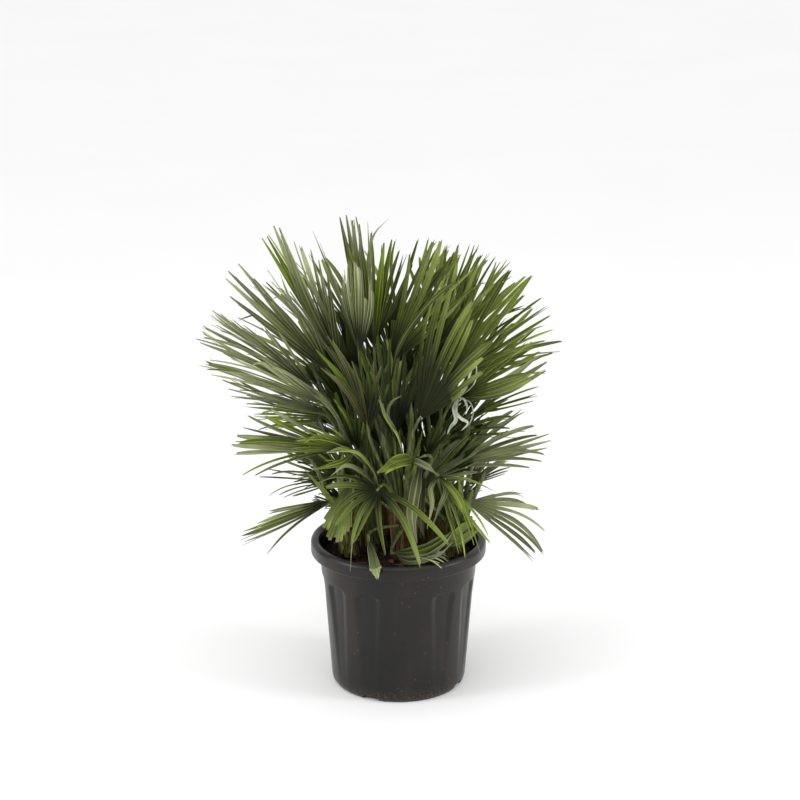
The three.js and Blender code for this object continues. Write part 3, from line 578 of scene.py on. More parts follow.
class Paint:
    """A principled material and short calls for the nodes that feed it"""

    def __init__(self, name, roughness, specular):
        self.material = bpy.data.materials.new(name)
        self.material.use_nodes = True
        tree = self.material.node_tree
        self.nodes = tree.nodes
        self.links = tree.links
        self.shader = tree.nodes["Principled BSDF"]
        self.shader.inputs["Roughness"].default_value = roughness
        self.shader.inputs["Specular IOR Level"].default_value = specular

    def feed(self, socket, value):
        """Gives a socket a value or a link"""
        if isinstance(value, bpy.types.NodeSocket):
            self.links.new(value, socket)
        else:
            socket.default_value = value

    def node(self, kind, inputs, **settings):
        """A node of a kind with its inputs fed and its settings made"""
        made = self.nodes.new("ShaderNode" + kind)
        for name, value in settings.items():
            setattr(made, name, value)
        for place, value in inputs.items():
            self.feed(made.inputs[place], value)
        return made

    def math(self, operation, a, b=0.0):
        """One or two values through an operation"""
        return self.node("Math", {0: a, 1: b}, operation=operation).outputs[0]

    def times(self, a, b):
        """One value multiplied by another"""
        return self.math("MULTIPLY", a, b)

    def plus(self, a, b):
        """The sum of two values"""
        return self.math("ADD", a, b)

    def ramp(self, value, low, high, start=0.0, end=1.0):
        """start below low, end above high, and a smooth change between"""
        inputs = {"Value": value, "From Min": low, "From Max": high, "To Min": start, "To Max": end}
        return self.node("MapRange", inputs, interpolation_type="SMOOTHSTEP").outputs[0]

    def mix(self, share, a, b, blend="MIX"):
        """Colour b over colour a by a share"""
        made = self.node("Mix", {0: share, 6: a, 7: b}, data_type="RGBA", blend_type=blend)
        return made.outputs[2]

    def where(self, stretch=(1, 1, 1)):
        """The place on the object, as the patterns see it"""
        place = self.node("TexCoord", {}).outputs["Object"]
        return self.node("Mapping", {"Vector": place, "Scale": stretch}).outputs[0]

    def noise(self, scale, detail=3.0, stretch=(1, 1, 1)):
        """A cloudy pattern from 0 to 1"""
        inputs = {"Vector": self.where(stretch), "Scale": scale, "Detail": detail}
        return self.node("TexNoise", inputs).outputs["Fac"]

    def spots(self, scale):
        """How far it is to the next of many scattered points"""
        inputs = {"Vector": self.where(), "Scale": scale}
        return self.node("TexVoronoi", inputs).outputs["Distance"]

    def place(self):
        """How far from the rib to the edge, and from the root to the tip"""
        split = self.node("SeparateXYZ", {0: self.node("UVMap", {}, uv_map="place").outputs[0]})
        return split.outputs[0], split.outputs[1]

    def tone(self):
        """The tone that each point was given"""
        return self.node("Attribute", {}, attribute_name="tone").outputs["Fac"]

    def colour(self, value):
        """Sets the colour of the surface"""
        self.feed(self.shader.inputs["Base Color"], value)

    def rough(self, value):
        """Sets how rough the surface is"""
        self.feed(self.shader.inputs["Roughness"], value)

    def bump(self, height, distance):
        """Raises the surface by a pattern, over a distance in millimetres"""
        inputs = {"Strength": 1.0, "Distance": distance * MM, "Height": height}
        self.feed(self.shader.inputs["Normal"], self.node("Bump", inputs).outputs[0])


# Colours of the upper and the lower side of each kind of leaf: dark root, middle, light tip and rib. The
# dark root is painted shade near the hub, and the light tip is partly the leaf's own paler tip and partly
# painted light
UPPER_TINTS = {
    "deep": ((33, 37, 15), (80, 98, 24), (146, 166, 62), (152, 168, 76)),
    "fresh": ((36, 43, 14), (104, 126, 36), (176, 196, 90), (180, 196, 102)),
    "bright": ((52, 60, 18), (122, 140, 42), (174, 190, 88), (192, 202, 116)),
    "grey": ((32, 35, 16), (113, 121, 72), (188, 194, 148), (188, 194, 150)),
    "pale": ((36, 40, 20), (120, 129, 80), (178, 184, 138), (184, 188, 144)),
    # The shade kind is a darker green, painted as the shade on fans deep inside the plant
    "shade": ((28, 32, 15), (42, 54, 18), (74, 92, 32), (74, 88, 38)),
    "dull": ((30, 28, 14), (80, 82, 46), (134, 136, 92), (130, 128, 86)),
}
LOWER_TINTS = {
    "deep": ((32, 36, 14), (86, 98, 42), (142, 156, 86), (138, 148, 84)),
    "fresh": ((40, 46, 18), (98, 112, 46), (158, 174, 92), (152, 164, 88)),
    "bright": ((44, 50, 18), (106, 120, 48), (162, 176, 94), (158, 170, 92)),
    "grey": ((38, 42, 22), (106, 114, 74), (166, 174, 132), (162, 168, 128)),
    "pale": ((64, 68, 40), (130, 138, 92), (174, 182, 136), (168, 176, 130)),
    # The lower side of the shade kind, painted shade as well
    "shade": ((22, 26, 12), (44, 54, 22), (80, 94, 42), (76, 88, 38)),
    "dull": UPPER_TINTS["dull"],
}
KINDS = list(UPPER_TINTS)

# The pattern of a leaf: scale and detail of its noises, and ramps, which say where a change starts and ends
# and the values there
LEAF = Sizes(
    specular=0.16, broad=(26, 2.0), fine=(240, 4.0), middle=(0.08, 0.62), tip=(0.5, 1.0),
    tip_by_tone=(0.0, 1.0, 0.35, 1.0), shade_by_tone=(0.0, 1.0, 0.45, 1.4), patches=(0.3, 0.7, -0.14, 0.16),
    veins=34.0, vein_shade=0.055, grain=(0.3, 0.7, -0.05, 0.05), outer=(0.06, 0.6, 0.15, 1.0),
    rib=(0.09, 0.2, 0.55, 0.0), edge=(0.86, 0.98, 0.0, 0.6), dry_end=(0.985, 1.02, 0.0, 0.85), ragged=0.05,
    dry=(142, 120, 84), uneven=(0.2, 0.8), smoother=0.07, rougher=0.1, relief=0.16,
)


def leaf_material(name, dark, mid, light, rib, roughness, veins=1.0):
    """A side of a leaflet: darker at the root as painted shade, lighter at the tip partly as painted light,
    with a rib, fine veins and a dry end
    """
    paint = Paint(name, roughness, LEAF.specular)
    across, along = paint.place()
    tone = paint.tone()
    fine = paint.noise(*LEAF.fine)
    # Painted shade: dark at the root near the hub, turning to the middle colour, then partly painted light
    # towards the tip
    colour = paint.mix(paint.ramp(along, *LEAF.middle), tint(*dark), tint(*mid))
    tips = paint.times(paint.ramp(along, *LEAF.tip), paint.ramp(tone, *LEAF.tip_by_tone))
    colour = paint.mix(tips, colour, tint(*light))

    patches = paint.ramp(paint.noise(*LEAF.broad), *LEAF.patches)
    lines = paint.math("SINE", paint.times(across, LEAF.veins))
    shade = paint.plus(paint.ramp(tone, *LEAF.shade_by_tone), patches)
    shade = paint.plus(shade, paint.times(lines, LEAF.vein_shade * veins))
    shade = paint.plus(shade, paint.ramp(fine, *LEAF.grain))
    grey = paint.node("CombineColor", {0: shade, 1: shade, 2: shade}).outputs[0]
    colour = paint.mix(1.0, colour, grey, "MULTIPLY")

    # Rib and edge colours fade out towards the root, so that the painted shade there stays dark
    outer = paint.ramp(along, *LEAF.outer)
    colour = paint.mix(paint.times(outer, paint.ramp(across, *LEAF.rib)), colour, tint(*rib))
    colour = paint.mix(paint.times(outer, paint.ramp(across, *LEAF.edge)), colour, tint(*light))
    end = paint.plus(along, paint.times(fine, LEAF.ragged))
    paint.colour(paint.mix(paint.ramp(end, *LEAF.dry_end), colour, tint(*LEAF.dry)))
    paint.rough(paint.ramp(fine, *LEAF.uneven, roughness - LEAF.smoother, roughness + LEAF.rougher))
    paint.bump(paint.plus(lines, fine), LEAF.relief * veins)
    return paint.material


def leaf_pair(kind):
    """The upper and lower side of one kind of leaf"""
    upper = leaf_material("leaf_" + kind, *UPPER_TINTS[kind], roughness=0.42)
    lower = leaf_material("leaf_" + kind + "_under", *LOWER_TINTS[kind], roughness=0.55, veins=1.3)
    return [upper, lower]


def stalk_material():
    """Streaked green, and brown like a husk at the root"""
    paint = Paint("leaf_stalk", roughness=0.45, specular=0.4)
    _, along = paint.place()
    streaks = paint.noise(60, detail=4.0, stretch=(6, 6, 0.6))
    green = paint.mix(paint.ramp(streaks, 0.3, 0.7), tint(50, 58, 25), tint(102, 110, 56))
    husk = paint.mix(paint.ramp(streaks, 0.35, 0.65), tint(58, 36, 22), tint(112, 82, 46))
    paint.colour(paint.mix(paint.ramp(along, 0.06, 0.26, start=0.95, end=0.0), green, husk))
    paint.bump(streaks, 0.4)
    return paint.material


def base_material():
    """Bases of old leaves: green, tan or red brown by their tone, streaked up and down"""
    paint = Paint("leaf_base", roughness=0.6, specular=0.25)
    tone = paint.tone()
    streaks = paint.noise(120, detail=5.0, stretch=(5, 5, 0.4))
    colour = paint.mix(paint.ramp(tone, 0.15, 0.45), tint(84, 50, 28), tint(116, 104, 56))
    colour = paint.mix(paint.ramp(tone, 0.5, 0.8), colour, tint(74, 86, 38))
    paint.colour(paint.mix(paint.ramp(streaks, 0.34, 0.6, start=0.85, end=0.0), colour, tint(24, 18, 10)))
    paint.bump(streaks, 1.0)
    return paint.material


# Stuffs with a grain of two colours: scale, detail and stretch of the grain, where dark turns to light, and
# the depth of its relief. Some have patches: their scale and detail, a ramp, and a colour if not the dark
FIBRE = dict(
    roughness=0.85, specular=0.2, grain=(70, 6.0, (5, 5, 0.5)), turn=(0.32, 0.66), relief=1.2,
    patches=(22, 2.0), patch_ramp=(0.4, 0.7, 0.0, 0.5),
)
CHIPPED = dict(roughness=0.85, specular=0.2, grain=(220, 4.0, (1, 3, 1)), turn=(0.35, 0.65), relief=0.5)
STUFFS = {
    "stem_fibre": dict(dark=(16, 11, 7), light=(52, 36, 22), **FIBRE),
    "loose_fibre": dict(dark=(44, 28, 18), light=(104, 74, 46), **FIBRE),
    "bark_dark": dict(dark=(22, 15, 11), light=(52, 34, 24), **CHIPPED),
    "bark_red": dict(dark=(60, 34, 22), light=(104, 64, 42), **CHIPPED),
    "straw": dict(dark=(92, 62, 38), light=(142, 106, 66), **CHIPPED),
    "potting_soil": dict(
        dark=(16, 11, 9), light=(44, 31, 24), roughness=0.95, specular=0.15, grain=(180, 6.0),
        turn=(0.35, 0.65), relief=2.0, patches=(30, 2.0), patch_ramp=(0.45, 0.7, 0.0, 0.6),
        patch=(26, 19, 15),
    ),
    "silver_leaf": dict(
        dark=(140, 150, 128), light=(204, 210, 194), roughness=0.6, specular=0.3, grain=(80, 4.0),
        turn=(0.3, 0.7), relief=0.3,
    ),
}


def stuff_material(name):
    """One of the stuffs with a grain of two colours"""
    stuff = {"patch": STUFFS[name]["dark"], **STUFFS[name]}
    paint = Paint(name, stuff["roughness"], stuff["specular"])
    grain = paint.noise(*stuff["grain"])
    colour = paint.mix(paint.ramp(grain, *stuff["turn"]), tint(*stuff["dark"]), tint(*stuff["light"]))
    if "patches" in stuff:
        patches = paint.ramp(paint.noise(*stuff["patches"]), *stuff["patch_ramp"])
        colour = paint.mix(patches, colour, tint(*stuff["patch"]))
    paint.colour(colour)
    paint.bump(grain, stuff["relief"])
    return paint.material


def pot_material():
    """Moulded black plastic with dust in its hollows, a paler lip, partly worn and partly a painted
    highlight, and light scuffs round the foot
    """
    paint = Paint("pot_plastic", roughness=0.32, specular=0.34)
    dust = paint.noise(9, detail=5.0, stretch=(1, 1, 0.5))
    smudges = paint.noise(17, detail=6.0, stretch=(1, 1, 0.45))
    grain = paint.noise(420)
    height = paint.node("SeparateXYZ", {0: paint.where()}).outputs[2]
    colour = paint.mix(paint.ramp(dust, 0.35, 0.75), tint(11, 10, 8), tint(24, 21, 16))
    colour = paint.mix(paint.ramp(smudges, 0.5, 0.7, start=0.0, end=0.45), colour, tint(40, 29, 21))
    foot = paint.ramp(height, 0.0, 0.03, start=1.0, end=0.0)
    colour = paint.mix(paint.times(foot, paint.ramp(grain, 0.45, 0.65)), colour, tint(74, 60, 48))
    specks = paint.ramp(paint.spots(75), 0.05, 0.11, start=0.6, end=0.0)
    colour = paint.mix(paint.times(specks, paint.ramp(dust, 0.4, 0.58)), colour, tint(96, 86, 70))
    # Paler grey round the top of the lip: partly wear and partly a painted highlight on the crown
    lip = paint.ramp(height, 0.2385, 0.2415)
    worn_and_highlit = paint.ramp(grain, 0.35, 0.6, start=0.3, end=0.8)
    paint.colour(paint.mix(paint.times(lip, worn_and_highlit), colour, tint(60, 60, 60)))
    paint.rough(paint.ramp(smudges, 0.3, 0.7, start=0.22, end=0.42))
    paint.bump(grain, 0.12)
    return paint.material


# Pot and soil


def wall_radius(z):
    """Outer radius of the plain wall at a height"""
    heights = [0, POT.foot_rise, POT.body_low, POT.body_top, POT.shoulder_top, POT.lip_bottom]
    low = [POT.foot_radius, POT.foot_radius + POT.foot_flare, POT.body_radius_low]
    return float(np.interp(z, heights, [*low, POT.body_radius_high, POT.shoulder_radius, POT.collar_radius]))


def flute_depth(bearing, z):
    """How far the flutes press the wall in"""
    period = 360 / FLUTES.count
    phase = (bearing - FLUTES.first) % period
    off = min(phase, period - phase)
    rise = min(1.0, max(0.0, z / POT.shoulder_top))
    half = FLUTES.half_width * drawn(FLUTES.growth, rise)
    # The arch at the top is round: the flute narrows as it nears the shoulder
    under = min(1.0, max(0.0, (POT.shoulder_top - z) / FLUTES.arch))
    half *= math.sqrt(1 - (1 - under) ** 2)
    across = smooth((half + FLUTES.edge / 2 - off) / FLUTES.edge)
    return FLUTES.depth * rise * across * smooth(under * FLUTES.top_slope)


def arc(radius, z, size, turns):
    """Points of a rounded edge whose outermost radius and middle height are given"""
    turns = [math.radians(turn) for turn in turns]
    return [(radius - size + size * math.cos(turn), z + size * math.sin(turn)) for turn in turns]


def pot_profile():
    """Radius, height and side of the wall of each point, from the middle of the foot to the floor inside"""
    wall, lip, top, low = POT.wall, POT.lip_radius, POT.height, POT.lip_bottom
    outer = [(0, 0), (POT.foot_ring, 0), (NOTCHES.inner_radius - NOTCHES.edge, 0), (NOTCHES.inner_radius, 0)]
    outer += [*FOOT_EDGE, *((wall_radius(z), z) for z in WALL_HEIGHTS)]
    outer += [*UNDER_LIP, (lip - POT.lip_round, low)]
    outer += arc(lip, low + POT.lip_round, POT.lip_round, range(-72, 1, 18))
    outer += [(lip, z) for z in POT.lip_side]
    outer += arc(lip, top - POT.crown_round, POT.crown_round, range(15, 91, 15))
    outer.append((POT.crown_radius, top))
    inner = [*LIP_INSIDE, (wall_radius(low) - wall, POT.ledge)]
    inner += [(wall_radius(z) - wall, z) for z in INSIDE_HEIGHTS]
    inner += [(wall_radius(wall) - wall, wall), (POT.floor_ring, wall), (0, wall)]
    return [(r, z, False) for r, z in outer] + [(r, z, True) for r, z in inner]


def turned(shell, profile, columns, shape, look=0):
    """A profile turned about the middle of the pot. shape gives each point from its bearing and the rest."""
    rows = []
    for radius, z, inside in profile[1:-1]:
        row = [shell.add(shape(360 * k / columns, radius, z, inside)) for k in range(columns)]
        rows.append([*row, row[0]])
    shell.grid(rows, look)
    start = shell.add((0, 0, profile[0][1]))
    end = shell.add((0, 0, profile[-1][1]))
    for k in range(columns):
        shell.face((start, rows[0][k + 1], rows[0][k]), look)
        shell.face((end, rows[-1][k], rows[-1][k + 1]), look)


def pot_point(bearing, radius, z, inside):
    """A point of the pot, pressed in by the flutes and raised by the drain notches"""
    if radius <= POT.foot_radius - 2 * POT.wall:
        return at(bearing, radius, z)
    low = POT.shoulder_top - FLUTES.arch
    pressed = flute_depth(bearing, min(z, low) if inside and z <= POT.shoulder_top else z)
    if not inside and radius > NOTCHES.inner_radius - NOTCHES.edge / 2:
        period = 360 / NOTCHES.count
        off = (bearing - NOTCHES.first + period / 2) % period - period / 2
        if abs(off) < math.degrees(NOTCHES.width / 2 / POT.foot_radius):
            z = max(z, NOTCHES.height)
    return at(bearing, radius - pressed, z)


def build_pot():
    """The fluted nursery pot"""
    shell = Shell()
    turned(shell, pot_profile(), POT.columns, pot_point)
    piece("nursery_pot", shell, [pot_material()], ["pot"], crease=50)


def soil_height(x, y):
    """Height of the soil: flat in the middle, lower at the wall, with lumps and crumbs"""
    drop = SOIL.edge_drop * smooth((math.hypot(x, y) - SOIL.flat_radius) / SOIL.slope)
    lumps = noise.fractal(Vector((x, y, 7)) / LUMPS.size, *LUMPS.fractal)
    crumbs = noise.noise(Vector((x, y, 3)) / LUMPS.crumb)
    return SOIL.top - LUMPS.sunk - drop + LUMPS.height * lumps + LUMPS.crumb_height * crumbs


def build_soil():
    """The soil that fills the pot, clear of its wall"""
    shell = Shell()
    edge = wall_radius(SOIL.top - SOIL.edge_drop) - POT.wall - SOIL.clearance
    deep = POT.wall + SOIL.clearance
    inset = deep + FLUTES.depth
    profile = [(0, deep, True)]
    heights = (deep, POT.body_low, POT.body_top, POT.shoulder_top)
    profile += [(wall_radius(z) - inset, z, True) for z in heights]
    profile += [(edge, SOIL.wide_from, True)]
    profile += [(edge * (1 - k / SOIL.rings), 0, False) for k in range(SOIL.rings)]
    profile.append((0, soil_height(0, 0), False))

    def shape(bearing, radius, z, inside):
        point = at(bearing, radius, z)
        if not inside:
            point.z = soil_height(point.x, point.y)
        return point

    turned(shell, profile, SOIL.columns, shape)
    piece("potting_soil", shell, [stuff_material("potting_soil")], ["soil"], crease=70)


def chip(shell, place, size, number, look):
    """A flat splinter of bark with an uneven outline, lying at a slant"""
    slant = Matrix.Rotation(CHIP.slant * (chance(number, 3) - 0.5), 3, "X")
    slant = slant @ Matrix.Rotation(CHIP.slant * (chance(number, 4) - 0.5), 3, "Y")
    slant = Matrix.Rotation(CHIP.whole_turn * chance(number, 5), 3, "Z") @ slant
    sides = int(drawn(CHIP.sides, chance(number, 6)))
    stretch = drawn(CHIP.stretch, chance(number, 7))
    rings = []
    for level, grow in CHIP.rings:
        ring = []
        for k in range(sides):
            reach = size * grow * drawn(CHIP.reach, chance(number, 11 + k))
            flat = at(360 * (k + 0.5 * chance(number, 31 + k)) / sides, reach)
            flat = Vector((flat.x, flat.y * stretch, size * level))
            ring.append(shell.add(place + slant @ flat, 0.5, 0.5, chance(number, 9)))
        rings.append(ring)
    tops = [shell.add(place + slant @ Vector((0, 0, z * size))) for z in (-CHIP.half, CHIP.half)]
    shell.tube(rings, *tops, look)


def thread(shell, points, radius, look, steps=8, tone=0.5, sides=4):
    """A thin round strand through the given points, pointed at both ends"""
    path, ways = smooth_path(points, steps)
    rings = []
    for k in range(1, steps):
        side = ways[k].cross(UP if abs(ways[k].z) < 0.9 else Vector((1, 0, 0))).normalized()
        upper = side.cross(ways[k])
        ring = []
        for s in range(sides):
            turn = 2 * math.pi * s / sides
            point = path[k] + radius * (side * math.cos(turn) + upper * math.sin(turn))
            ring.append(shell.add(point, 0.5, k / steps, tone))
        rings.append(ring)
    shell.tube(rings, shell.add(path[0], 0.5, 0, tone), shell.add(path[-1], 0.5, 1, tone), look)


def build_litter():
    """Bark chips, crumbs and bits of straw on the soil"""
    shell = Shell()
    for number in range(CHIPS.count):
        spot = at(360 * chance(number, 2), CHIPS.reach * math.sqrt(chance(number, 1)))
        size = lerp(CHIPS.least, CHIPS.most, chance(number, 8) ** CHIPS.mostly_small)
        spot.z = soil_height(spot.x, spot.y) + CHIPS.above * size
        chip(shell, spot, size, number, 0 if chance(number, 10) < CHIPS.dark_share else 1)
    for number in range(STRAWS.count):
        middle = at(360 * chance(number, 51), STRAWS.place * math.sqrt(chance(number, 52)))
        reach = 0.5 * lerp(STRAWS.least, STRAWS.most, chance(number, 53))
        way = at(360 * chance(number, 54), reach)
        bend = at(360 * chance(number, 55), STRAWS.bend * reach)
        points = [middle - way, middle + bend, middle + way]
        for point in points:
            point.z = soil_height(point.x, point.y) + STRAWS.above
        thread(shell, points, STRAWS.radius, 2)
    looks = [stuff_material(name) for name in ("bark_dark", "bark_red", "straw")]
    piece("bark_chips", shell, looks, crease=30)


# Stems


def stem_frame(stem):
    """Foot, axis and heart of a stem"""
    foot = Vector((stem.x, stem.y, SOIL.top))
    lean = math.radians(stem.lean)
    axis = at(stem.bearing, math.sin(lean), math.cos(lean))
    return foot, axis, foot + axis * stem.height * STEM.heart


def stem_point(stem, bearing, share, lift):
    """A point over the side of a stem"""
    foot, axis, _ = stem_frame(stem)
    flare = lerp(STEM.flare, 1.0, smooth(share / STEM.flare_to))
    neck = lerp(1.0, STEM.neck, smooth((share - STEM.neck_from) / (1 - STEM.neck_from)))
    return foot + axis * stem.height * share + at(bearing, stem.radius * flare * neck + lift)


def add_trunk(shell, stem):
    """The body of a stem, ridged up and down like matted fibre"""
    rows = []
    for ring in range(STEM.rings + 1):
        share = ring / STEM.rings
        row = []
        for k in range(STEM.columns):
            bearing = 360 * k / STEM.columns
            spot = stem_point(stem, bearing, share, 0)
            long = Vector((spot.x / STEM.ridge, spot.y / STEM.ridge, spot.z / STEM.ridge_length))
            lift = STEM.relief * (noise.noise(long) + noise.noise(spot / STEM.lump)) - STEM.sunk
            row.append(shell.add(stem_point(stem, bearing, share, lift), 0.5, share, chance(k, ring)))
        rows.append(row)
    foot, axis, _ = stem_frame(stem)
    shell.tube(rows, shell.add(foot - UP * STEM.below), shell.add(foot + axis * (stem.height + STEM.above)))


def add_boot(shell, stem, number, boot):
    """The broad torn base of an old leaf, clasping the stem"""
    share = boot / BOOTS.count
    bearing = GOLDEN_TURN * boot + BOOTS.shift * number
    long = BOOTS.height * drawn(BOOTS.long, chance(boot, number + 1)) / stem.height
    sheet = Shell()
    grid = []
    for v in range(BOOTS.rows):
        up = v / (BOOTS.rows - 1)
        row = []
        for w in range(BOOTS.columns):
            side = 2 * w / (BOOTS.columns - 1) - 1
            turn = side * BOOTS.half_turn * (1 - BOOTS.narrowing * up**1.3)
            torn = BOOTS.torn * chance(boot * BOOTS.columns + w, number) * (up == 1)
            lift = BOOTS.clear + BOOTS.lift * up**1.6 + BOOTS.rising * share - BOOTS.hollow * side * side
            level = min(BOOTS.highest, share * BOOTS.topmost + long * (up - torn))
            point = stem_point(stem, bearing + turn, level, lift)
            row.append(sheet.add(point, abs(side), up, chance(boot, number)))
        grid.append(row)
    sheet.grid(grid, 1)
    shell.join(sheet.thickened(BOOTS.thickness, 0))


def add_fibre(shell, stem, number, fibre):
    """A loose fibre round the stem, whose last end stands off"""
    share = chance(fibre, number + 20) * FIBRES.topmost
    bearing = 360 * chance(fibre, number + 21)
    turn = FIBRES.turn * (2 * chance(fibre, number + 22) - 1)
    rise = FIBRES.rise * drawn(FIBRES.rising, chance(fibre, number + 23)) / stem.height
    points = []
    for k in range(4):
        end = FIBRES.stray * chance(fibre * 4 + k, number + 24) * (k == 3)
        lift = FIBRES.clear + end + FIBRES.wave * chance(fibre, k)
        level = min(FIBRES.highest, share + rise * k / 3)
        points.append(stem_point(stem, bearing + turn * k / 3, level, lift))
    thread(shell, points, FIBRES.radius, 2, steps=6, sides=3)


def build_stem(stem, number, looks):
    """A trunk of matted fibre under the bases of old leaves"""
    shell = Shell()
    add_trunk(shell, stem)
    for boot in range(BOOTS.count):
        add_boot(shell, stem, number, boot)
    for fibre in range(FIBRES.count):
        add_fibre(shell, stem, number, fibre)
    piece(stem.name + "_trunk", shell, looks, [stem.name], crease=60)


# Fronds


class Frond:
    """Where a frond is and how its blade is spread, by the rule of the solids"""

    def __init__(self, row, number, style=None):
        given = dict(zip(COLUMNS, row))
        style = Sizes(**{**USUAL, **given, **(style or {}), **STYLES.get(row[0], {})})
        self.style = style
        self.name = style.name
        self.number = number
        self.stem = STEMS[style.stem]
        self.root = Sizes(**{"turn": 0, "rise": 0, "bow": 0, **ROOTS.get(style.name, {})})
        self.hub = Vector((style.x, style.y, style.z))
        tilt = math.radians(style.tilt)
        roll = math.radians(style.roll)
        self.axis = at(style.bearing, math.cos(tilt), math.sin(tilt))
        level = at(style.bearing + 90, 1)
        self.side = level * math.cos(roll) + self.axis.cross(level) * math.sin(roll)
        self.normal = self.axis.cross(self.side)
        self.length = style.length
        self.split = style.split * style.length
        self.count = max(BLADE.least_leaflets, round(style.spread / style.pitch))
        self.spread = math.radians(style.spread)
        self.pitch = self.spread / self.count
        self.half_width = max(BLADE.least_half_width, style.half_width * style.length)
        self.gap = [math.radians(edge) for edge in style.gap]
        self.wild = min(1.0, style.wild)
        self.bundled = self.wild if style.bundled is None else style.bundled

    def point(self, angle, reach):
        """A point of the fan at an angle from its middle and a distance from its hub"""
        angle *= 1 - self.style.closing * (reach / self.length) ** 2
        point = self.hub + self.out(angle) * reach
        point += self.normal * (BLADE.cup * reach * math.sin(angle) ** 2)
        return point - UP * (self.style.droop * reach * reach / self.length)

    def out(self, angle):
        """Direction from the hub to the edge"""
        return self.axis * math.cos(angle) + self.side * math.sin(angle)

    def across(self, angle):
        """Direction across the fan"""
        way = self.side * math.cos(angle) - self.axis * math.sin(angle)
        return (way + self.normal * (2 * BLADE.cup * math.sin(angle) * math.cos(angle))).normalized()

    def upper(self, angle):
        """The way that the upper side of the fan faces"""
        return self.out(angle).cross(self.across(angle)).normalized()


class Leaflet:
    """How one leaflet differs from its neighbours"""

    def __init__(self, frond, i):
        n = frond.number
        style = frond.style

        def draw(salt):
            return chance(n * 31 + i, salt)

        self.angle = (i + 0.5) * frond.pitch - frond.spread / 2
        outward = abs(self.angle) / (frond.spread / 2)
        share = 1 - BLADE.side_shorter * outward**2 - BLADE.uneven * draw(1)
        if style.middle < 1:
            share = lerp(style.middle, 1.0, outward**2) - BLADE.uneven * draw(1)
        self.length = frond.length * share * (1 + style.skew * 2 * self.angle / frond.spread)
        self.sway = LEAFLET.sway * (draw(2) - 0.5) * style.wild
        self.lift = LEAFLET.lift * (draw(3) - 0.5) * style.wild
        self.twist = math.radians(LEAFLET.twist * (draw(4) - 0.5)) * frond.wild
        self.sag = style.sag * drawn(LEAFLET.sag, draw(5)) + LEAFLET.own_sag * draw(5) ** 2
        self.fold = math.radians(drawn(LEAFLET.fold, draw(6)))
        self.wide = drawn(LEAFLET.wide, draw(7)) * (1 - LEAFLET.side_narrower * outward**4)
        if style.wild <= LEAFLET.tame:
            self.wide = 1.0
        self.taper = LEAFLET.blunt_taper if style.blunt > LEAFLET.blunt else drawn(LEAFLET.taper, draw(8))
        self.kink = drawn(LEAFLET.kink, draw(9)) if draw(10) > 1 - style.kinked else 2.0
        self.notch = LEAFLET.notch * draw(11)
        self.fork = drawn(LEAFLET.fork, draw(14)) if draw(15) < style.forked else 1.0
        self.parting = drawn(LEAFLET.parting, draw(16))
        self.blunt = style.blunt if self.fork == 1.0 else max(LEAFLET.blunt, style.blunt)
        self.tone = lerp(draw(12), chance(n, 13), LEAFLET.shared_tone)


def gather(frond, leaves):
    """Draws neighbouring leaflets together into bundles, with gaps between one bundle and the next"""
    first = 0
    while first < len(leaves):
        draw = [chance(frond.number * 13 + first, 81 + k) for k in range(3)]
        group = leaves[first : first + 1 + int(BUNDLES.most * draw[0])]
        middle = sum(leaf.angle for leaf in group) / len(group)
        pull = lerp(BUNDLES.pull_least, BUNDLES.pull_most, draw[1])
        for leaf in group:
            shift = BUNDLES.drift * (draw[2] - 0.5) + pull * (middle - leaf.angle) / frond.pitch
            leaf.sway += shift * frond.bundled
        first += len(group)


def leaflet_row(frond, leaf, share):
    """The points across a leaflet at a share of its free length"""
    reach = lerp(frond.split, leaf.length, share)
    angle = leaf.angle + leaf.sway * frond.pitch * share**1.5
    across = frond.across(angle)
    upper = frond.upper(angle)
    middle = frond.point(angle, reach) + upper * (leaf.lift * leaf.length * share**2)
    bow = frond.style.arch * leaf.length * math.sin(math.pi * share)
    middle += (UP * LEAFLET.arch_up + upper * LEAFLET.arch_out) * bow
    level = math.hypot(*frond.out(angle).xy)
    middle.z -= leaf.sag * leaf.length * level * share**3
    bent = max(0.0, share - leaf.kink) * (leaf.length - frond.split)
    middle += bent * (-LEAFLET.kink_down * UP - LEAFLET.kink_back * across.cross(upper))
    cos, sin = math.cos(leaf.twist * share), math.sin(leaf.twist * share)
    across, upper = across * cos + upper * sin, upper * cos - across * sin

    fold = lerp(math.radians(BLADE.web_fold), leaf.fold, smooth(share / LEAFLET.folded_by))
    room = reach * math.tan(frond.pitch / 2) * (1 - LEAFLET.free_gap * smooth(share / LEAFLET.free_by))
    half = min(room, frond.half_width * leaf.wide * math.cos(fold))
    if share > leaf.taper:
        half *= 1 - (1 - leaf.blunt) * ((share - leaf.taper) / (1 - leaf.taper)) ** LEAFLET.taper_power
    rise = half * math.tan(fold)
    # Just over 1, as the fork of a whole leaflet is at 1
    parted = max(0.0, share - leaf.fork) / (1.001 - leaf.fork)
    row = []
    for u in ACROSS:
        out = lerp(abs(u), LEAFLET.fork_middle, LEAFLET.fork_narrower * parted)
        out = math.copysign(out * half + leaf.parting * parted, u)
        row.append(middle + across * out + upper * ((abs(u) - 0.5) * rise * (1 - parted)))
    return row, reach


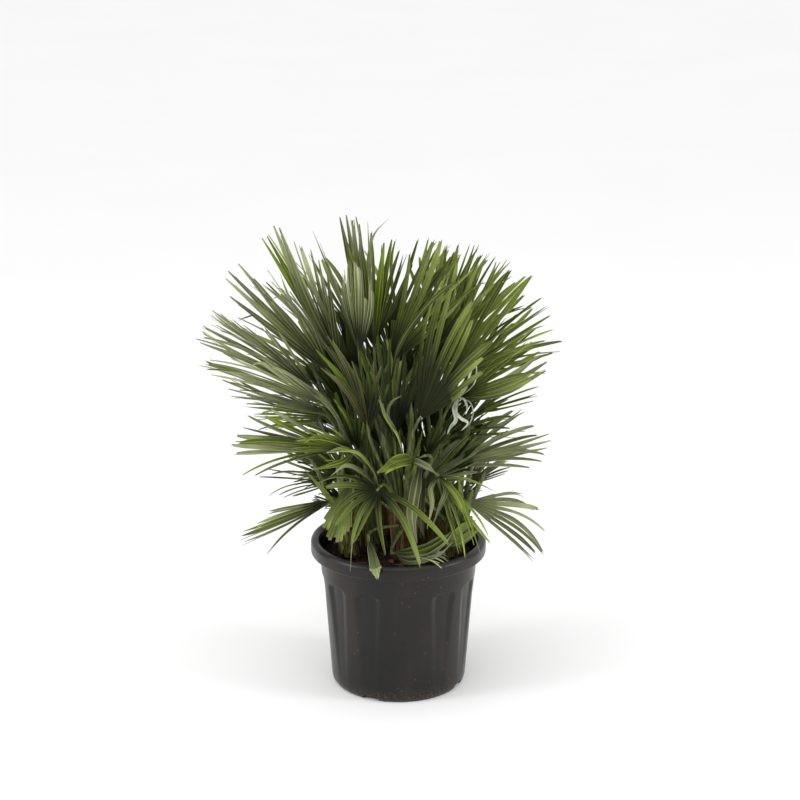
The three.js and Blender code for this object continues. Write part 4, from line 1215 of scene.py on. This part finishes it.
def add_leaflet(sheet, frond, leaf, root, light, look):
    """A free leaflet, on from its root in the web: whole, then forked where it is, with a slanting tip"""
    strip = [root]
    for share in SHARES:
        points, reach = leaflet_row(frond, leaf, share)
        along = light(reach / leaf.length)
        strip.append([sheet.add(p, abs(u), along, leaf.tone) for p, u in zip(points, ACROSS)])
    whole = 1 + sum(share <= leaf.fork for share in SHARES)
    sheet.grid(strip[:whole], look)
    for half in (slice(0, 3), slice(3, 6)):
        sheet.grid([row[half] for row in strip[whole - 1 :]], look)
    last = strip[-1]
    ends, _ = leaflet_row(frond, leaf, 1.0)
    early, _ = leaflet_row(frond, leaf, 1.0 - leaf.notch)
    for corners, tip in ((last[:3], ends[0]), (last[3:], early[-1])):
        end = sheet.add(tip, 0.5, 1.0, leaf.tone)
        sheet.face((corners[0], corners[1], end), look)
        sheet.face((corners[1], corners[2], end), look)


def blade_shell(frond, kinds):
    """Web and leaflets as one thin sheet. kinds says which pair of looks each leaflet has."""
    sheet = Shell()
    fold = math.tan(math.radians(BLADE.web_fold))
    leaves = [Leaflet(frond, i) for i in range(frond.count)]
    gather(frond, leaves)

    # The share of the way from the painted shade at the root to the light tip, moved by the frond's dark
    def light(along):
        return max(0.0, along - frond.style.dark) / (1 - frond.style.dark)

    rows = []
    joined = [share * frond.length for share in BLADE.web]
    joined = [reach for reach in joined if reach < BLADE.web_until * frond.split]
    for reach in [*joined, frond.split]:
        row = []
        half = reach * math.tan(frond.pitch / 2)
        for i, leaf in enumerate(leaves):
            for u in ACROSS[0 if i == 0 else 1 :]:
                angle = leaf.angle + u * frond.pitch / 2
                point = frond.point(angle, reach) + frond.upper(angle) * ((abs(u) - 0.5) * half * fold)
                tone = drawn(BLADE.web_tone, leaf.tone)
                row.append(sheet.add(point, abs(u), light(reach / frond.length), tone))
        rows.append(row)
    step = len(ACROSS) - 1
    for i, leaf in enumerate(leaves):
        look = 2 * kinds[i]
        sheet.grid([row[i * step : (i + 1) * step + 1] for row in rows], look)
        if not frond.gap[0] < leaf.angle < frond.gap[1]:
            add_leaflet(sheet, frond, leaf, rows[-1][i * step : (i + 1) * step + 1], light, look)
    return sheet.thickened(BLADE.thickness, 1)


def stalk_path(frond):
    """Points of the stalk from inside its stem to its hub"""
    root = frond.root
    _, _, heart = stem_frame(frond.stem)
    way = frond.hub - heart
    span = way.length
    bearing = math.degrees(math.atan2(way.y, way.x)) + root.turn
    climb = math.radians(min(STALK.steepest, math.degrees(math.asin(way.z / span)) + root.rise))
    leave = at(bearing, math.cos(climb), math.sin(climb))
    start = heart + leave * (frond.stem.radius * STALK.root_inside)
    aside = way.cross(UP).normalized() * (root.bow * span)
    out = start + leave * (span * STALK.leave) + way * STALK.leave + aside + UP * (STALK.bow * span)
    back = frond.hub - frond.axis * (span * STALK.arrive) + aside * STALK.arrive_aside
    path = []
    for step in range(STALK.steps + 1):
        t = step / STALK.steps
        s = 1 - t
        path.append(start * s**3 + out * 3 * s * s * t + back * 3 * s * t * t + frond.hub * t**3)
    return path


def add_tooth(shell, base, side, upper, way, draw, hand, look):
    """A tooth on the edge of a stalk, pointing out and a little towards the blade"""
    half = way * STALK.tooth_half
    tip = base + side * (hand * STALK.tooth) + way * drawn(STALK.tooth_ahead, draw) + upper * STALK.tooth_up
    corners = [shell.add(point) for point in (base + half, base - half, base - upper * STALK.tooth_keel)]
    end = shell.add(tip)
    if hand < 0:
        corners.reverse()
    shell.face(corners[::-1], look)
    for a, b in zip(corners, corners[1:] + corners[:1]):
        shell.face((a, b, end), look)


def add_stalk(shell, frond, look):
    """The stalk, wide and husky at its root, toothed along its edges, and running on under the blade"""
    path = stalk_path(frond)
    steps = len(path) - 1
    rings = []
    sides = []

    def ring(middle, side, upper, radius, wide, share):
        points = [middle + side * (a * radius * wide) + upper * (h * radius) for a, h in STALK_SECTION]
        rings.append([shell.add(point, 0.5, share) for point in points])

    for k, point in enumerate(path):
        share = k / steps
        way = (path[min(k + 1, steps)] - path[max(k - 1, 0)]).normalized()
        side = (frond.side - way * frond.side.dot(way)).normalized()
        upper = way.cross(side)
        radius = lerp(STALK.root_radius, STALK.hub_radius, share)
        wide = lerp(STALK.sheath_width, 1.0, smooth(share / STALK.sheath))
        ring(point, side, upper, radius, wide, share)
        sides.append((side, upper, way, radius * wide))

    drop = frond.upper(0) * STALK.costa_drop
    reach = STALK.costa * frond.length
    for k in (1, 2):
        radius = STALK.hub_radius * (1 - k / 3)
        ring(frond.point(0, reach * k / 3) - drop, frond.side, frond.normal, radius, 1.0, 1.0)
    end = shell.add(frond.point(0, reach) - drop, 0.5, 1.0)
    shell.tube(rings, shell.add(path[0], 0.5, 0.0), end, look)

    travelled = 0.0
    number = 0
    for k in range(1, steps):
        travelled += (path[k] - path[k - 1]).length
        if k < steps * STALK.bare or travelled < STALK.tooth_gap:
            continue
        travelled = 0.0
        side, upper, way, radius = sides[k]
        for hand in (-1, 1):
            number += 1
            base = path[k] + side * (hand * radius * STALK.edge)
            add_tooth(shell, base, side, upper, way, chance(number, frond.number), hand, look)


def kind_of(name):
    """The kind of leaf whose name in the list is the longest start of a frond's name"""
    for length in range(name.count("_") + 1, 0, -1):
        start = "_".join(name.split("_")[:length])
        if start in FROND_KINDS:
            return FROND_KINDS[start]
    return KINDS[0]


def build_frond(frond, looks, replaced=()):
    """A fan with its stalk"""
    main = kind_of(frond.name)
    other = NEXT_KIND[main]
    draws = [chance(frond.number * 17 + i, 77) for i in range(frond.count)]
    kinds = [KINDS.index(main if draw <= MAIN_SHARE else other) for draw in draws]
    shell = blade_shell(frond, kinds)
    add_stalk(shell, frond, 2 * len(KINDS))
    piece("fan_" + frond.name, shell, looks, replaced)


# Single leaflets and stalks


def ribbon(shell, points, width, fold, turn, look, under=1, tone=0.5, tip=0.1, face=UP):
    """A single leaflet through the given points, folded along its rib, its upper side turned from face"""
    steps = RIBBON.steps * (len(points) - 1)
    path, ways = smooth_path(points, steps)
    level = ways[0].cross(face).normalized()
    lean = math.radians(turn)
    sheet = Shell()
    rows = []
    for k, (point, way) in enumerate(zip(path, ways)):
        share = k / steps
        level = (level - way * level.dot(way)).normalized()
        upper = level.cross(way)
        side = level * math.cos(lean) + upper * math.sin(lean)
        above = upper * math.cos(lean) - level * math.sin(lean)
        half = 0.5 * width * min(1.0, drawn(RIBBON.widening, share))
        half *= lerp(1.0, tip, smooth((share - RIBBON.taper) / (1 - RIBBON.taper)))
        if k == steps:
            half *= RIBBON.end
        rise = half * math.tan(math.radians(fold))
        row = [point + side * (u * half) + above * ((abs(u) - 0.5) * rise) for u in ACROSS]
        along = drawn(RIBBON.along, share)
        rows.append([sheet.add(p, abs(u), along, tone) for p, u in zip(row, ACROSS)])
    sheet.grid(rows, look)
    shell.join(sheet.thickened(BLADE.thickness, under))


def build_loose(looks, hubs):
    """Leaflets that hang, lie or stand apart from the fans, some of them silvery"""
    shell = Shell()
    for number, (kind, width, fold, turn, fan, points) in enumerate(LOOSE):
        silver = kind == "silver"
        look = len(looks) if silver else 2 * KINDS.index(kind)
        tone = drawn(RIBBON.tones, chance(number, 87))
        start = [hubs[fan]] if fan else []
        ribbon(shell, [*start, *points], width, fold, turn, look, 0 if silver else 1, tone)
    piece("loose_leaflets", shell, [*looks, stuff_material("silver_leaf")])


def build_tufts(looks, hubs):
    """Leaflets that stand apart from the fan they grow from"""
    shell = Shell()
    for number, (kind, width, bow, kept, fan, tips) in enumerate(TUFTS):
        look = 2 * KINDS.index(kind)
        for k, tip in enumerate(tips):
            way = Vector(tip) - hubs[fan]
            points = [hubs[fan], hubs[fan] + way * 0.5 + UP * (bow * way.length), tip]
            turn = RIBBON.turn * (chance(number, 31 + k) - 0.5)
            tone = drawn(RIBBON.tones, chance(number, 41 + k))
            ribbon(shell, points, width, RIBBON.fold, turn, look, 1, tone, kept, FRONT)
    piece("tuft_leaflets", shell, looks)


def leaning(foot, axis, reach, bearing, lean):
    """Foot, middle and tip of a strand up a stem's axis that leans out further towards its tip"""
    middle = foot + axis * reach * 0.5 + at(bearing, lean * MIDDLE_LEAN)
    return [foot, middle, foot + axis * reach + at(bearing, lean)]


def build_spears(looks):
    """Young leaves, still folded, that stand in the crowns of the stems"""
    shell = Shell()
    look = 2 * KINDS.index("fresh")
    for number, stem in enumerate(STEMS):
        _, axis, heart = stem_frame(stem)
        for k in range(SPEARS.count):
            draw = [chance(number, salt + k) for salt in (61, 65, 69, 73)]
            reach = lerp(SPEARS.least, SPEARS.most, draw[1]) * stem.height / USUAL_HEIGHT
            points = leaning(heart, axis, reach, 360 * draw[0], reach * drawn(SPEARS.lean, draw[2]))
            ribbon(shell, points, SPEARS.width, SPEARS.fold, 360 * draw[3], look)
    piece("spear_leaves", shell, looks)


def build_old_stalks(looks):
    """Stalks whose blades are gone, standing close together round the crowns of the stems"""
    shell = Shell()
    for number, stem in enumerate(STEMS):
        _, axis, heart = stem_frame(stem)
        for k in range(OLD_STALKS.count):
            draw = [chance(17 * number + k, 91 + salt) for salt in range(5)]
            reach = lerp(OLD_STALKS.least, OLD_STALKS.most, draw[0]) * stem.height / USUAL_HEIGHT
            bearing = GOLDEN_TURN * k + OLD_STALKS.shift * draw[1]
            lean = OLD_STALKS.lean * draw[2] * reach
            foot = heart + at(bearing, stem.radius * OLD_STALKS.place)
            points = leaning(foot, axis, reach, bearing, lean)
            radius = lerp(OLD_STALKS.thin, OLD_STALKS.thick, draw[3])
            thread(shell, points, radius, 0, steps=10, tone=draw[4], sides=7)
    piece("old_stalks", shell, [looks[-1]])


# Scene


def aim(thing, way):
    """Turns a light to shine along a direction"""
    thing.rotation_euler = Vector(way).to_track_quat("-Z", "Y").to_euler()


def add_sky():
    """Plain white light from all round"""
    world = bpy.data.worlds.new("studio")
    world.use_nodes = True
    sky = world.node_tree.nodes["Background"]
    sky.inputs["Color"].default_value = (1.0, 1.0, 1.0, 1.0)
    sky.inputs["Strength"].default_value = SKY_STRENGTH
    bpy.context.scene.world = world


def add_lights():
    """A broad soft light from above and a disk at each side"""
    data = bpy.data.lights.new("overhead", "SUN")
    data.energy = OVERHEAD.energy
    data.angle = math.radians(OVERHEAD.angle)
    aim(link("overhead", data), OVERHEAD.way)
    for name, place in SIDE_LIGHTS.items():
        data = bpy.data.lights.new(name, "AREA")
        data.shape = "DISK"
        data.size = SIDE_LIGHT.size
        data.energy = SIDE_LIGHT.energy
        lamp = link(name, data)
        lamp.location = place
        aim(lamp, Vector(SIDE_LIGHT.aim) - Vector(place))


def add_floor():
    """The pale floor, which isn't part of the plant"""
    reach = FLOOR.reach
    corners = [(-reach, -reach, 0), (reach, -reach, 0), (reach, reach, 0), (-reach, reach, 0)]
    mesh = bpy.data.meshes.new("floor")
    mesh.from_pydata(corners, [], [(0, 1, 2, 3)])
    paint = Paint("pale_floor", roughness=0.8, specular=0.1)
    paint.colour(paint.mix(paint.noise(2.0, 2.0), FLOOR.dark, FLOOR.light))
    mesh.materials.append(paint.material)
    link("floor", mesh)


def add_camera():
    """The camera, looking down at the plant as the photograph does"""
    down = math.radians(CAMERA.down)
    ahead = Vector((0, math.cos(down), -math.sin(down)))
    data = bpy.data.cameras.new("camera")
    data.sensor_width = CAMERA.sensor
    data.lens = CAMERA.lens
    camera = link("camera", data)
    camera.location = (Vector(CAMERA.aim) - ahead * CAMERA.distance) * MM
    camera.rotation_euler = (math.pi / 2 - down, 0, 0)
    bpy.context.scene.camera = camera


def build_plant():
    """The stems with their fans, and the leaflets and stalks between them"""
    stem_looks = [stuff_material("stem_fibre"), base_material(), stuff_material("loose_fibre")]
    for number, stem in enumerate(STEMS):
        build_stem(stem, number, stem_looks)
    looks = [side for kind in KINDS for side in leaf_pair(kind)]
    looks.append(stalk_material())
    for number, row in enumerate(FRONDS):
        build_frond(Frond(row, number), looks, ["frond_" + row[0]])
    for number, row in enumerate(INNER):
        build_frond(Frond(row, len(FRONDS) + number, INNER_STYLE), looks)
    hubs = {row[0]: Vector(row[2:5]) for row in FRONDS}
    build_loose(looks, hubs)
    build_tufts(looks, hubs)
    build_spears(looks)
    build_old_stalks(looks)


bpy.context.scene.view_settings.view_transform = "Standard"
add_sky()
add_lights()
add_floor()
add_camera()
build_pot()
build_soil()
build_litter()
build_plant()
